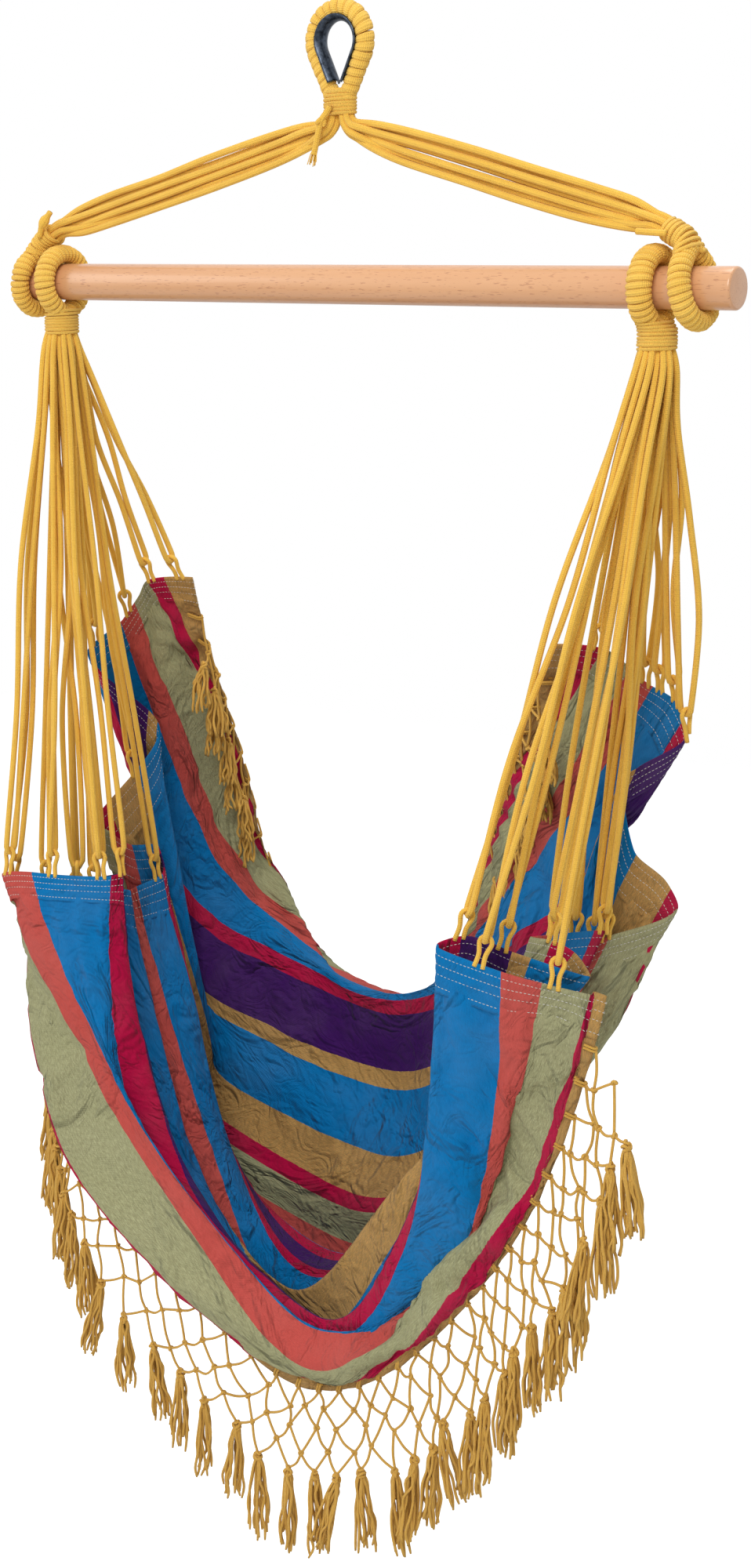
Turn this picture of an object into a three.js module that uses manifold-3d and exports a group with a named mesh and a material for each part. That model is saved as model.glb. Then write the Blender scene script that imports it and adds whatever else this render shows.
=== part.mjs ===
// Hammock chair: a striped cotton seat hung on cords from a round wooden spreader bar,
// under a whipped rope eye with a steel thimble. Millimetres, +Z up, +X along the bar,
// -Y towards the front of the seat. The origin is the inner crown of the thimble,
// the point that rests on a hook.
import * as THREE from 'three';
import Module from 'manifold-3d';

const wasm = await Module();
wasm.setup();

// Driving sizes
const barLength = 1000;
const barDiameter = 45;
const barEndRound = 3;
const barShift = 8;
const barDrop = 290;
const barSides = 24;
const seatDrop = 1250;
const seatDepth = 400;
const clothLength = 1380;
const clothThickness = 1.8;
const clothColumns = 11;
const hemHeight = 40;
const hemThickness = 3.4;
const fitGap = 0.35;
const runningClearance = 0.8;

// Whipped rings and the throats they are drawn into
const whippedDiameter = 22.6;
const whippingHeight = 7.5;
const whippingWidthShare = 0.9;
const ringTurns = 14;
const ringWhippingWidthShare = 0.86;
const eyeTurns = 17;
const turnSteps = 6;
const turnSides = 4;
const ringOpenAngle = THREE.MathUtils.degToRad(35);
const ringCoreLegShare = 0.86;
const bridleWhippingLegShare = 0.55;
const seatWhippingLegShare = 0.37;
const coreSides = 6;
const coreSag = 0.7;
const ringCoreSteps = 16;
const eyeCoreSteps = 18;
const throatCordDiameter = 7.2;
const throatSteps = 7;
const throatTurns = 3;
const throatHalfWidth = 22;
const eyeThroatHalfDepth = 12.5;
const eyeThroatHeight = 21.5;
const ringThroatHeight = 22.5;
const seatThroatMiddle = 54.7;
const bridleThroatCordDiameter = 5;
const bridleThroatHalfWidth = 14;
const bridleThroatHalfDepth = 19;
const bridleThroatInset = 21.5;
const bridleThroatRise = 55.4;
const bridleThroatLean = THREE.MathUtils.degToRad(60);
const bridleLeadLengths = [0, 5];
const seatLeadLengths = [0];
const eyeThroatMiddle = 92.8;
const plugSides = 10;
const plugClearance = 0.3;
const plugProud = 0.6;

// Hanging eye
const thimbleWall = 2;
const thimbleReach = THREE.MathUtils.degToRad(60);
const thimbleSections = 4;
const thimbleSteps = 24;
const thimbleInnerRadius = 20.9;
const thimbleLegShare = 0.5;
const eyeOpenAngle = THREE.MathUtils.degToRad(65);
const eyeLegShare = 0.55;
const eyeCoreLegShare = 0.72;

// Bridle cords
const bridleCordDiameter = 8;
const bridleCordGap = 0.4;
const bridleSides = 5;
const bridleBendRadius = 16;
const bridleEndBendRadius = 60;
const bridleRibbonPitch = 6.6;
const bridleRibbonZigzag = 2.4;
// Along the straight run: how far the cords have spread from a round bundle into a ribbon
const bridleRunShares = [[0.1, 0.6], [0.35, 1], [0.7, 1], [0.93, 0.4]];
const bridleThroatSqueezeShare = 0.8;
const bendSteps = 3;
const endBendSteps = 1;
const bendRounds = 30;
const bridleLevelGap = 0.4;
const bridleStraight = 2;
const eyeTailShift = -3;
const eyeTailInset = 0.95;
const tailDiameter = 7;
const tailSides = 6;

// Tail cords of the bridle rings, in tail diameters from where they leave the throat, and how
// far each start lies in from the widest depth of its throat
const ringTailInsets = { left: 1.5, right: 1.6 };
const ringTailShares = {
  left: [[0, 0, 0], [1, -0.2, 2], [2.9, 0, 4.3]],
  right: [[0, 0, 0], [-1.8, -0.2, 0.1], [-5, 0, 0.3]],
};

// Suspension cords and the loops of the hem
const suspensionCordDiameter = 7;
const suspensionSides = 5;
const bundlePitch = 7.9;
const bundleGap = 0.6;
const bundleReach = 27;
const bundleRoot = 14;
// Drop and width of the flare in which the cords come together below a throat
const flareShares = [[-0.3, 0.42], [0, 0.45], [0.5, 0.9], [0.9, 1], [1.3, 1]];
const hemLoopDiameter = 5.6;
const hemLoopSides = 4;
const hemLoopSteps = 3;
const hemLoopHeight = 32;
const hemLoopRoot = 3;
const loopClearance = 1;
const bightSteps = 4;
const legShares = [0, 0.15, 0.7, 1];
const pressRounds = 400;
const pressTolerance = 0.15;

// Nets and tassels
const netCordDiameter = 3;
const netDrop = 92;
const netHangShare = 0.5;
const netFallShare = 0.5;
const netLeanShare = 0.3;
const netEdgeGap = 0.8;
const netSlopeShare = 0.04;
const tasselLength = 108;
const tasselWidth = 18;
const tasselSides = 4;
const tasselRootShare = 0.04;
// Drop of each ring of a tassel and its width: knot, neck and skirt
const tasselShares = [[0, 0.4], [0.05, 0.67], [0.14, 0.42], [0.24, 0.78], [1, 1]];

// The knotted fringes: the edge that each hangs from and how much of it they take
const fringes = [
  { name: 'front_fringe', edge: 1, columns: 15, rows: 3, from: 0.04, to: 0.96 },
  { name: 'back_fringe_left', edge: 0, columns: 4, rows: 2, from: 0.24, to: 0.44 },
  { name: 'back_fringe_right', edge: 0, columns: 4, rows: 2, from: 0.72, to: 0.96 },
];

// Step in shares of the cloth for the slopes of its surface
const slopeShare = 0.004;

// Where each ring sits along the bar, as shares of the bar's length
const ringPlaceShares = { bridleLeft: -0.478, seatLeft: -0.443, seatRight: 0.415, bridleRight: 0.455 };

// Where the cords meet the hems, as shares of the cloth's width from its back edge
const hemLoopShares = {
  left: [
    0.008, 0.033, 0.1, 0.135, 0.299, 0.556, 0.674, 0.757,
    0.778, 0.806, 0.833, 0.861, 0.889, 0.917, 0.944, 0.972,
  ],
  right: [
    0.011, 0.033, 0.106, 0.128, 0.15, 0.181, 0.396, 0.417,
    0.48, 0.53, 0.59, 0.667, 0.794, 0.833, 0.889, 0.939,
  ],
};

const barRadius = barDiameter / 2;
const whippedRadius = whippedDiameter / 2;
const windingInside = whippedRadius - whippingHeight;
const coreDiameter = 2 * (windingInside * Math.cos(Math.PI / turnSteps) - fitGap - coreSag);
const ringRadius = barRadius + runningClearance + whippedRadius;
const thimbleSeatRadius = (whippedRadius + fitGap) / Math.cos(thimbleReach / thimbleSections);
const eyeRadius = thimbleInnerRadius + thimbleWall + thimbleSeatRadius;
const suspensionRadius = suspensionCordDiameter / 2;
const hemLoopRadius = hemLoopDiameter / 2;
const hemLoopHalfWidth = hemLoopRadius + suspensionRadius + loopClearance;
const bridleTopLevel = -eyeThroatMiddle - eyeThroatHeight / 2 - bridleLevelGap;
const bridleRingLean = Math.acos((barRadius + fitGap + whippedRadius) / ringRadius);
const suspensionTopLevel = -barDrop - seatThroatMiddle - ringThroatHeight / 2;
const bridleStartOffset = (bridleCordDiameter * 3 + bridleCordGap * 3) / 2;

const cordMaterial = new THREE.MeshStandardMaterial({ color: 0xe6ad45, roughness: 0.95, metalness: 0 });
const fringeMaterial = new THREE.MeshStandardMaterial({ color: 0xc9942f, roughness: 0.95, metalness: 0 });
const beechMaterial = new THREE.MeshStandardMaterial({ color: 0xdea87d, roughness: 0.5, metalness: 0 });
const steelMaterial = new THREE.MeshStandardMaterial({ color: 0x70757a, roughness: 0.4, metalness: 0.9 });
const clothMaterial = new THREE.MeshStandardMaterial({ color: 0x007db8, roughness: 0.9, metalness: 0 });
const hemMaterial = new THREE.MeshStandardMaterial({ color: 0xcc5550, roughness: 0.9, metalness: 0 });

const up = new THREE.Vector3(0, 0, 1);
const down = new THREE.Vector3(0, 0, -1);
const front = new THREE.Vector3(0, -1, 0);
const right = new THREE.Vector3(1, 0, 0);

const chair = new THREE.Group();

function addPiece(name, geometry, material) {
  const mesh = new THREE.Mesh(geometry, material);
  mesh.name = name;
  chair.add(mesh);
}

function solidOf(geometry) {
  return new wasm.Manifold(new wasm.Mesh({
    numProp: 3,
    vertProperties: new Float32Array(geometry.attributes.position.array),
    triVerts: new Uint32Array(geometry.index.array),
  }));
}

function geometryOf(solid) {
  const { vertProperties, triVerts } = solid.getMesh();
  const geometry = new THREE.BufferGeometry();
  geometry.setAttribute('position', new THREE.BufferAttribute(vertProperties, 3));
  geometry.setIndex(Array.from(triVerts));
  return geometry;
}

// Pieces that run into one another, joined as one solid
function join(geometries) {
  return geometryOf(geometries.map(solidOf).reduce((whole, solid) => whole.add(solid)));
}

// What is left of a piece beside its neighbours: its largest part
function besides(geometry, neighbours) {
  const left = neighbours.reduce((whole, other) => whole.subtract(solidOf(other)), solidOf(geometry));
  const parts = left.decompose().sort((one, two) => two.volume() - one.volume());
  return geometryOf(parts[0]);
}

function regularSection(sides, diameter) {
  const points = [];
  for (let i = 0; i < sides; i++) {
    const angle = (2 * Math.PI * (i + 1 / 2)) / sides;
    points.push(new THREE.Vector2(Math.cos(angle), Math.sin(angle)).multiplyScalar(diameter / 2));
  }
  return points;
}

// Turns the faces of a closed solid outwards
function facingOut(geometry) {
  const place = geometry.attributes.position;
  const index = Array.from(geometry.index.array);
  const corner = (k) => new THREE.Vector3().fromBufferAttribute(place, index[k]);
  let volume = 0;
  for (let k = 0; k < index.length; k += 3) {
    volume += corner(k).dot(corner(k + 1).cross(corner(k + 2)));
  }
  if (volume < 0) index.reverse();
  geometry.setIndex(index);
  return geometry;
}

// A solid through a row of closed rings of points, with flat ends
function loftRings(rings) {
  const count = rings[0].length;
  const index = [];
  for (let k = 0; k < rings.length - 1; k++) {
    for (let i = 0; i < count; i++) {
      const a = k * count + i;
      const b = k * count + ((i + 1) % count);
      index.push(a, b, b + count, a, b + count, a + count);
    }
  }
  const last = (rings.length - 1) * count;
  for (let i = 0, j = count - 1; i + 1 < j; i++, j--) {
    index.push(i, j, i + 1);
    index.push(last + i, last + i + 1, last + j);
    if (i + 2 >= j) break;
    index.push(i + 1, j, j - 1);
    index.push(last + i + 1, last + j - 1, last + j);
  }
  const geometry = new THREE.BufferGeometry();
  geometry.setAttribute('position', new THREE.Float32BufferAttribute(
    rings.flat().flatMap((p) => [p.x, p.y, p.z]),
    3,
  ));
  geometry.setIndex(index);
  return facingOut(geometry);
}

// A round cord through the given points, with the same section carried along without twist.
// Widths, where given, are the shares of the diameter at each point.
function cordThrough(points, diameter, sides, widthShares = []) {
  const rings = [];
  let level = null;
  points.forEach((point, k) => {
    const before = points[Math.max(0, k - 1)];
    const after = points[Math.min(points.length - 1, k + 1)];
    const along = k > 0 && k < points.length - 1
      ? after.clone().sub(point).normalize().add(point.clone().sub(before).normalize()).normalize()
      : after.clone().sub(before).normalize();
    if (!level) level = Math.abs(along.y) < Math.SQRT1_2 ? front.clone() : right.clone();
    level.addScaledVector(along, -level.dot(along)).normalize();
    const other = new THREE.Vector3().crossVectors(along, level);
    const width = diameter * (widthShares[k] ?? 1);
    rings.push(regularSection(sides, width).map((p) => point.clone()
      .addScaledVector(level, p.x)
      .addScaledVector(other, p.y)));
  });
  return loftRings(rings);
}

// A drop-shaped loop: round, and drawn straight towards its throat from both sides.
// The distance runs along its centre line from one side of the throat to the other.
function dropLoop({ centre, radius, across, towards, openAngle, legShare }) {
  const legLength = radius * Math.tan(openAngle) * legShare;
  const arcLength = radius * 2 * (Math.PI - openAngle);
  const total = arcLength + 2 * legLength;
  const normal = new THREE.Vector3().crossVectors(across, towards);
  return {
    total,
    normal,
    radius,
    at(distance) {
      const onArc = THREE.MathUtils.clamp(distance - legLength, 0, arcLength);
      const angle = openAngle + onArc / radius;
      const out = across.clone().multiplyScalar(Math.sin(angle)).addScaledVector(towards, Math.cos(angle));
      const along = across.clone().multiplyScalar(Math.cos(angle)).addScaledVector(towards, -Math.sin(angle));
      const straight = distance - legLength - onArc;
      const point = centre.clone().addScaledVector(out, radius).addScaledVector(along, straight);
      return { point, out, along, curved: straight === 0 };
    },
  };
}

function loopCore(loop, steps) {
  const rings = [];
  for (let k = 0; k <= steps; k++) {
    const frame = loop.at((loop.total * k) / steps);
    rings.push(regularSection(coreSides, coreDiameter).map((p) => frame.point.clone()
      .addScaledVector(frame.out, p.x)
      .addScaledVector(loop.normal, p.y)));
  }
  return loftRings(rings);
}

// The section of a winding: as high as its cord and as wide as the room it has
function windingSection(middle, outward, sideways, height, width) {
  const section = [];
  for (let i = 0; i < turnSides; i++) {
    const angle = (2 * Math.PI * i) / turnSides;
    section.push(middle.clone()
      .addScaledVector(outward, (height / 2) * Math.cos(angle))
      .addScaledVector(sideways, (width / 2) * Math.sin(angle)));
  }
  return section;
}

// One unbroken cord wound round a loop, each turn as wide as the room it has there
function whipping(name, loop, turns, widthShare) {
  const steps = turns * turnSteps;
  const pitch = loop.total / turns;
  const windRadius = whippedRadius - whippingHeight / 2;
  const middles = [];
  const rings = [];
  for (let k = 0; k <= steps; k++) {
    const frame = loop.at((loop.total * k) / steps);
    const angle = (2 * Math.PI * k) / turnSteps;
    const outward = frame.out.clone().multiplyScalar(Math.cos(angle))
      .addScaledVector(loop.normal, Math.sin(angle));
    const middle = frame.point.clone().addScaledVector(outward, windRadius);
    const room = frame.curved ? 1 + (windRadius * Math.cos(angle)) / loop.radius : 1;
    const width = widthShare * pitch * room;
    middles.push({ middle, width });
    rings.push(windingSection(middle, outward, frame.along, whippingHeight, width));
  }
  let least = Infinity;
  for (let k = 0; k + turnSteps <= steps; k++) {
    const next = middles[k + turnSteps];
    const gap = middles[k].middle.distanceTo(next.middle) - (middles[k].width + next.width) / 2;
    least = Math.min(least, gap);
  }
  console.log(`${name}: least gap between turns ${least.toFixed(2)} mm`);
  return loftRings(rings);
}

// Throats: the oval core that the cords of a loop are drawn into, and its winding
function throat(name, { centre, axis, cordDiameter, halfWidth, halfDepth, height, turns }) {
  const wide = new THREE.Vector3().crossVectors(axis, front);
  const deep = front.clone().negate();
  const radius = cordDiameter / 2;
  const steps = turns * throatSteps;
  const pitch = height / (turns + 1);
  const ovalWidth = halfWidth - radius;
  const ovalDepth = halfDepth - radius;
  const rings = [];
  for (let k = 0; k <= steps; k++) {
    const angle = (2 * Math.PI * k) / throatSteps;
    const outward = wide.clone().multiplyScalar(ovalDepth * Math.cos(angle))
      .addScaledVector(deep, ovalWidth * Math.sin(angle))
      .normalize();
    const middle = centre.clone()
      .addScaledVector(wide, ovalWidth * Math.cos(angle))
      .addScaledVector(deep, ovalDepth * Math.sin(angle))
      .addScaledVector(axis, (height - pitch) / 2 - (pitch * k) / throatSteps);
    rings.push(windingSection(middle, outward, axis, cordDiameter, whippingWidthShare * pitch));
  }
  console.log(`${name}: gap between turns ${((1 - whippingWidthShare) * pitch).toFixed(2)} mm`);
  const inside = Math.cos(Math.PI / throatSteps);
  const plugWidth = (ovalWidth - radius) * inside - plugClearance;
  const plugDepth = (ovalDepth - radius) * inside - plugClearance;
  const plug = [-1, 1].map((end) => regularSection(plugSides, 2).map((p) => centre.clone()
    .addScaledVector(wide, p.x * plugWidth)
    .addScaledVector(deep, p.y * plugDepth)
    .addScaledVector(axis, (end * (height + plugProud)) / 2)));
  return { winding: loftRings(rings), plug: loftRings(plug) };
}

// Where the cords of a leg are drawn into the throat of their ring
function bridleThroatAxis(side) {
  return up.clone().multiplyScalar(Math.cos(bridleThroatLean))
    .addScaledVector(right, -side * Math.sin(bridleThroatLean));
}

function bridleThroatCentre(side, ringX) {
  return new THREE.Vector3(ringX - side * bridleThroatInset, 0, -barDrop + bridleThroatRise);
}

// Bridle: two legs of parallel cords from the throat of the eye to the bridle rings
function bridleLeg(side, ringX, plug) {
  const start = new THREE.Vector3(side * bridleStartOffset, 0, bridleTopLevel);
  const axis = bridleThroatAxis(side);
  const end = bridleThroatCentre(side, ringX).addScaledVector(axis, ringThroatHeight / 2);
  const outward = new THREE.Vector3(side, 0, 0);
  // The lean of the straight run between the bends, found from the drop that is left for it
  const reach = Math.abs(end.x - start.x);
  const drop = start.z - end.z - bridleStraight;
  const topBend = (angle) => [
    bridleBendRadius * (1 - Math.cos(angle)),
    bridleBendRadius * Math.sin(angle),
  ];
  const endBend = (angle) => [
    bridleEndBendRadius * (Math.cos(bridleThroatLean) - Math.cos(angle)),
    bridleEndBendRadius * (Math.sin(angle) - Math.sin(bridleThroatLean)),
  ];
  let lean = Math.atan2(reach, drop);
  for (let k = 0; k < bendRounds; k++) {
    const [topReach, topDrop] = topBend(lean);
    const [endReach, endDrop] = endBend(lean);
    lean = Math.atan2(reach - topReach - endReach, drop - topDrop - endDrop);
  }
  const frames = [];
  const place = (x, fall, angle, spread, squeeze) => {
    const across = outward.clone().multiplyScalar(Math.cos(angle)).addScaledVector(up, Math.sin(angle));
    const point = start.clone().addScaledVector(outward, x).addScaledVector(down, fall);
    frames.push({ point, across, spread, squeeze });
  };
  place(0, 0, 0, 0, 1);
  for (let k = 0; k <= bendSteps; k++) {
    const angle = (lean * k) / bendSteps;
    const [x, fall] = topBend(angle);
    place(x, bridleStraight + fall, angle, 0, 1);
  }
  const [topReach, topDrop] = topBend(lean);
  const [endReach, endDrop] = endBend(lean);
  for (const [share, spread] of bridleRunShares) {
    place(
      topReach + (reach - topReach - endReach) * share,
      bridleStraight + topDrop + (drop - topDrop - endDrop) * share,
      lean,
      spread,
      1,
    );
  }
  for (let k = endBendSteps; k >= 0; k--) {
    const angle = bridleThroatLean + ((lean - bridleThroatLean) * k) / endBendSteps;
    const [x, fall] = endBend(angle);
    const squeeze = k === 0 ? bridleThroatSqueezeShare : 1;
    place(reach - x, bridleStraight + drop - fall, angle, 0, squeeze);
  }
  const offset = bridleCordDiameter + bridleCordGap;
  const places = [{ across: 0, deep: 0 }];
  for (let k = 0; k < 6; k++) {
    const angle = Math.PI / 2 + (k * Math.PI) / 3;
    places.push({ across: offset * Math.sin(angle), deep: offset * Math.cos(angle) });
  }
  places.sort((a, b) => a.across - b.across || a.deep - b.deep);
  const middle = (places.length - 1) / 2;
  const cords = places.map(({ across, deep }, k) => {
    const ribbonAcross = (k - middle) * bridleRibbonPitch;
    const ribbonDeep = (k % 2 ? 1 : -1) * bridleRibbonZigzag;
    return cordThrough(frames.map((frame) => frame.point.clone()
      .addScaledVector(
        frame.across,
        THREE.MathUtils.lerp(across * frame.squeeze, ribbonAcross, frame.spread),
      )
      .add(new THREE.Vector3(0, THREE.MathUtils.lerp(deep, ribbonDeep, frame.spread), 0))),
    bridleCordDiameter, bridleSides);
  });
  return join([plug, ...cords]);
}

// A smooth curve that keeps to the rises and falls of its points
function smoothCurve(places, values) {
  const last = places.length - 1;
  const widths = [];
  const rises = [];
  for (let k = 0; k < last; k++) {
    widths.push(places[k + 1] - places[k]);
    rises.push((values[k + 1] - values[k]) / widths[k]);
  }
  const endSlope = (h0, h1, d0, d1) => {
    const slope = ((2 * h0 + h1) * d0 - h0 * d1) / (h0 + h1);
    if (Math.sign(slope) !== Math.sign(d0)) return 0;
    if (Math.sign(d0) !== Math.sign(d1) && Math.abs(slope) > Math.abs(3 * d0)) return 3 * d0;
    return slope;
  };
  const slopes = [endSlope(widths[0], widths[1], rises[0], rises[1])];
  for (let k = 1; k < last; k++) {
    const before = 2 * widths[k] + widths[k - 1];
    const after = widths[k] + 2 * widths[k - 1];
    const turning = rises[k - 1] * rises[k] <= 0;
    slopes.push(turning ? 0 : (before + after) / (before / rises[k - 1] + after / rises[k]));
  }
  slopes.push(endSlope(widths[last - 1], widths[last - 2], rises[last - 1], rises[last - 2]));
  return (place) => {
    let k = 0;
    while (k < last - 1 && place > places[k + 1]) k++;
    const h = widths[k];
    const u = (place - places[k]) / h;
    const v = 1 - u;
    return v * v * (1 + 2 * u) * values[k] + u * u * (1 + 2 * v) * values[k + 1]
      + h * u * v * (v * slopes[k] - u * slopes[k + 1]);
  };
}

// Seat cloth: five lines across the width of the cloth, from its left to its right hem.
// Rows: share of the cloth's width from the back edge, then x, y and drop below the bar.
const guideShares = [
  [
    [0, -0.366, 0.334, 0.312], [0.06, -0.442, 0.351, 0.333], [0.115, -0.479, 0.32, 0.37],
    [0.16, -0.475, 0.233, 0.405], [0.21, -0.455, 0.317, 0.449], [0.265, -0.433, 0.342, 0.497],
    [0.32, -0.423, 0.147, 0.542], [0.38, -0.418, 0.086, 0.581], [0.44, -0.417, 0.245, 0.609],
    [0.5, -0.418, 0.341, 0.631], [0.56, -0.391, 0.22, 0.642], [0.625, -0.422, 0.101, 0.652],
    [0.68, -0.432, 0.046, 0.653], [0.735, -0.404, 0.046, 0.645], [0.79, -0.383, -0.083, 0.622],
    [0.84, -0.348, -0.14, 0.606], [0.89, -0.409, -0.212, 0.607], [0.945, -0.489, -0.148, 0.628],
    [1, -0.507, 0.099, 0.661],
  ],
  [
    [0, -0.415, 0.857, 0.614], [0.06, -0.441, 0.76, 0.578], [0.115, -0.461, 0.654, 0.609],
    [0.16, -0.476, 0.608, 0.66], [0.21, -0.466, 0.541, 0.723], [0.265, -0.448, 0.598, 0.822],
    [0.32, -0.439, 0.601, 0.9], [0.38, -0.438, 0.499, 0.932], [0.44, -0.397, 0.464, 0.944],
    [0.5, -0.346, 0.434, 0.949], [0.56, -0.315, 0.313, 0.942], [0.625, -0.312, 0.147, 0.934],
    [0.68, -0.308, 0.116, 0.959], [0.735, -0.287, 0.112, 0.955], [0.79, -0.271, -0.041, 0.905],
    [0.84, -0.279, -0.172, 0.853], [0.89, -0.278, -0.272, 0.828], [0.945, -0.315, -0.292, 0.855],
    [1, -0.407, -0.133, 0.908],
  ],
  [
    [0, -0.13, 1.01, 0.944], [0.06, -0.155, 0.986, 0.869], [0.115, -0.172, 0.874, 0.802],
    [0.16, -0.174, 0.78, 0.788], [0.21, -0.173, 0.766, 0.836], [0.265, -0.143, 0.647, 0.9],
    [0.32, -0.135, 0.52, 0.966], [0.38, -0.152, 0.52, 1.038], [0.44, -0.155, 0.457, 1.072],
    [0.5, -0.127, 0.254, 1.028], [0.56, -0.129, 0.176, 1.052], [0.625, -0.116, 0.146, 1.114],
    [0.68, -0.08, 0.01, 1.058], [0.735, -0.009, -0.072, 1.049], [0.79, 0.033, -0.154, 1.043],
    [0.84, 0.029, -0.225, 1.01], [0.89, 0.035, -0.281, 1.008], [0.945, 0.044, -0.335, 1.033],
    [1, 0.019, -0.3, 1.072],
  ],
  [
    [0, 0.025, 0.711, 0.614], [0.06, 0.056, 0.668, 0.612], [0.115, 0.09, 0.611, 0.625],
    [0.16, 0.106, 0.563, 0.657], [0.21, 0.107, 0.523, 0.705], [0.265, 0.106, 0.454, 0.772],
    [0.32, 0.127, 0.384, 0.832], [0.38, 0.122, 0.276, 0.878], [0.44, 0.096, 0.247, 0.91],
    [0.5, 0.113, 0.174, 0.901], [0.56, 0.123, 0.061, 0.893], [0.625, 0.126, -0.018, 0.897],
    [0.68, 0.139, -0.122, 0.864], [0.735, 0.139, -0.167, 0.896], [0.79, 0.153, -0.21, 0.909],
    [0.84, 0.182, -0.304, 0.875], [0.89, 0.225, -0.305, 0.868], [0.945, 0.262, -0.317, 0.858],
    [1, 0.285, -0.29, 0.902],
  ],
  [
    [0, 0.277, 0.151, 0.324], [0.06, 0.315, 0.274, 0.339], [0.115, 0.353, 0.317, 0.363],
    [0.16, 0.398, 0.253, 0.384], [0.21, 0.388, 0.213, 0.421], [0.265, 0.355, 0.222, 0.479],
    [0.32, 0.38, 0.248, 0.542], [0.38, 0.355, 0.205, 0.59], [0.44, 0.308, 0.147, 0.604],
    [0.5, 0.324, 0.115, 0.594], [0.56, 0.32, 0.048, 0.588], [0.625, 0.31, -0.093, 0.581],
    [0.68, 0.364, -0.203, 0.577], [0.735, 0.381, -0.259, 0.585], [0.79, 0.314, -0.293, 0.576],
    [0.84, 0.28, -0.394, 0.567], [0.89, 0.319, -0.434, 0.575], [0.945, 0.393, -0.359, 0.591],
    [1, 0.432, -0.304, 0.596],
  ],
];
const guidePlaceShares = [0, 0.25, 0.5, 0.75, 1];

const guideCurves = guideShares.map((rows) => {
  const places = rows.map((row) => row[0]);
  return [1, 2, 3].map((column) => smoothCurve(places, rows.map((row) => row[column])));
});

// A point of the cloth: s runs from the left to the right hem, t from the back to the front edge
function clothPoint(s, t) {
  const [x, y, z] = [0, 1, 2].map((axis) => smoothCurve(
    guidePlaceShares,
    guideCurves.map((curves) => curves[axis](t)),
  )(s));
  return new THREE.Vector3(x * barLength, y * seatDepth, -barDrop - z * seatDrop);
}

function clothFrame(s, t) {
  const step = slopeShare;
  const s0 = Math.max(0, s - step);
  const s1 = Math.min(1, s + step);
  const t0 = Math.max(0, t - step);
  const t1 = Math.min(1, t + step);
  const acrossHems = clothPoint(s1, t).sub(clothPoint(s0, t)).normalize();
  const alongHems = clothPoint(s, t1).sub(clothPoint(s, t0)).normalize();
  const normal = new THREE.Vector3().crossVectors(acrossHems, alongHems).normalize();
  return { point: clothPoint(s, t), acrossHems, alongHems, normal };
}

// A solid of even thickness from a grid of surface points and a mask of its filled cells
function maskedSheet(grid, filled) {
  const rows = grid.length - 1;
  const columns = grid[0].length - 1;
  const positions = [];
  for (const side of [1, -1]) {
    for (const row of grid) {
      for (const node of row) {
        const p = node.point.clone().addScaledVector(node.normal, (side * node.thickness) / 2);
        positions.push(p.x, p.y, p.z);
      }
    }
  }
  const layer = (rows + 1) * (columns + 1);
  const at = (i, j) => i * (columns + 1) + j;
  const isFilled = (i, j) => i >= 0 && j >= 0 && i < rows && j < columns && filled(i, j);
  const index = [];
  const wall = (a, b) => index.push(a, a + layer, b, b, a + layer, b + layer);
  for (let i = 0; i < rows; i++) {
    for (let j = 0; j < columns; j++) {
      if (!isFilled(i, j)) continue;
      const a = at(i, j);
      const b = at(i, j + 1);
      const c = at(i + 1, j + 1);
      const d = at(i + 1, j);
      index.push(a, b, c, a, c, d);
      index.push(a + layer, c + layer, b + layer, a + layer, d + layer, c + layer);
      if (!isFilled(i - 1, j)) wall(a, b);
      if (!isFilled(i, j + 1)) wall(b, c);
      if (!isFilled(i + 1, j)) wall(c, d);
      if (!isFilled(i, j - 1)) wall(d, a);
    }
  }
  const used = [...new Set(index)].sort((a, b) => a - b);
  const renumbered = new Map(used.map((old, place) => [old, place]));
  const geometry = new THREE.BufferGeometry();
  geometry.setAttribute('position', new THREE.Float32BufferAttribute(
    used.flatMap((old) => positions.slice(3 * old, 3 * old + 3)),
    3,
  ));
  geometry.setIndex(index.map((old) => renumbered.get(old)));
  return facingOut(geometry);
}

const guideRowShares = guideShares[0].map((row) => row[0]);
const rowShares = guideRowShares.flatMap((share, k) => (
  k === 0 ? [share] : [(share + guideRowShares[k - 1]) / 2, share]
));

function clothGrid(sPlaces, thickness) {
  return rowShares.map((t) => sPlaces.map((s) => ({ ...clothFrame(s, t), thickness })));
}

// A strip of the cloth between two places from hem to hem, whole or in short lengths
function clothStrip(sPlaces, thickness) {
  return maskedSheet(clothGrid(sPlaces, thickness), () => true);
}

function clothLengths(sPlaces, thickness) {
  const grid = clothGrid(sPlaces, thickness);
  return grid.slice(1).map((row, k) => maskedSheet([grid[k], row], () => true));
}

const hemShare = hemHeight / clothLength;
const gapShare = fitGap / clothLength;
const innerShares = [];
for (let k = 0; k <= clothColumns; k++) {
  const from = hemShare + gapShare;
  innerShares.push(from + ((1 - 2 * from) * k) / clothColumns);
}

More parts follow.
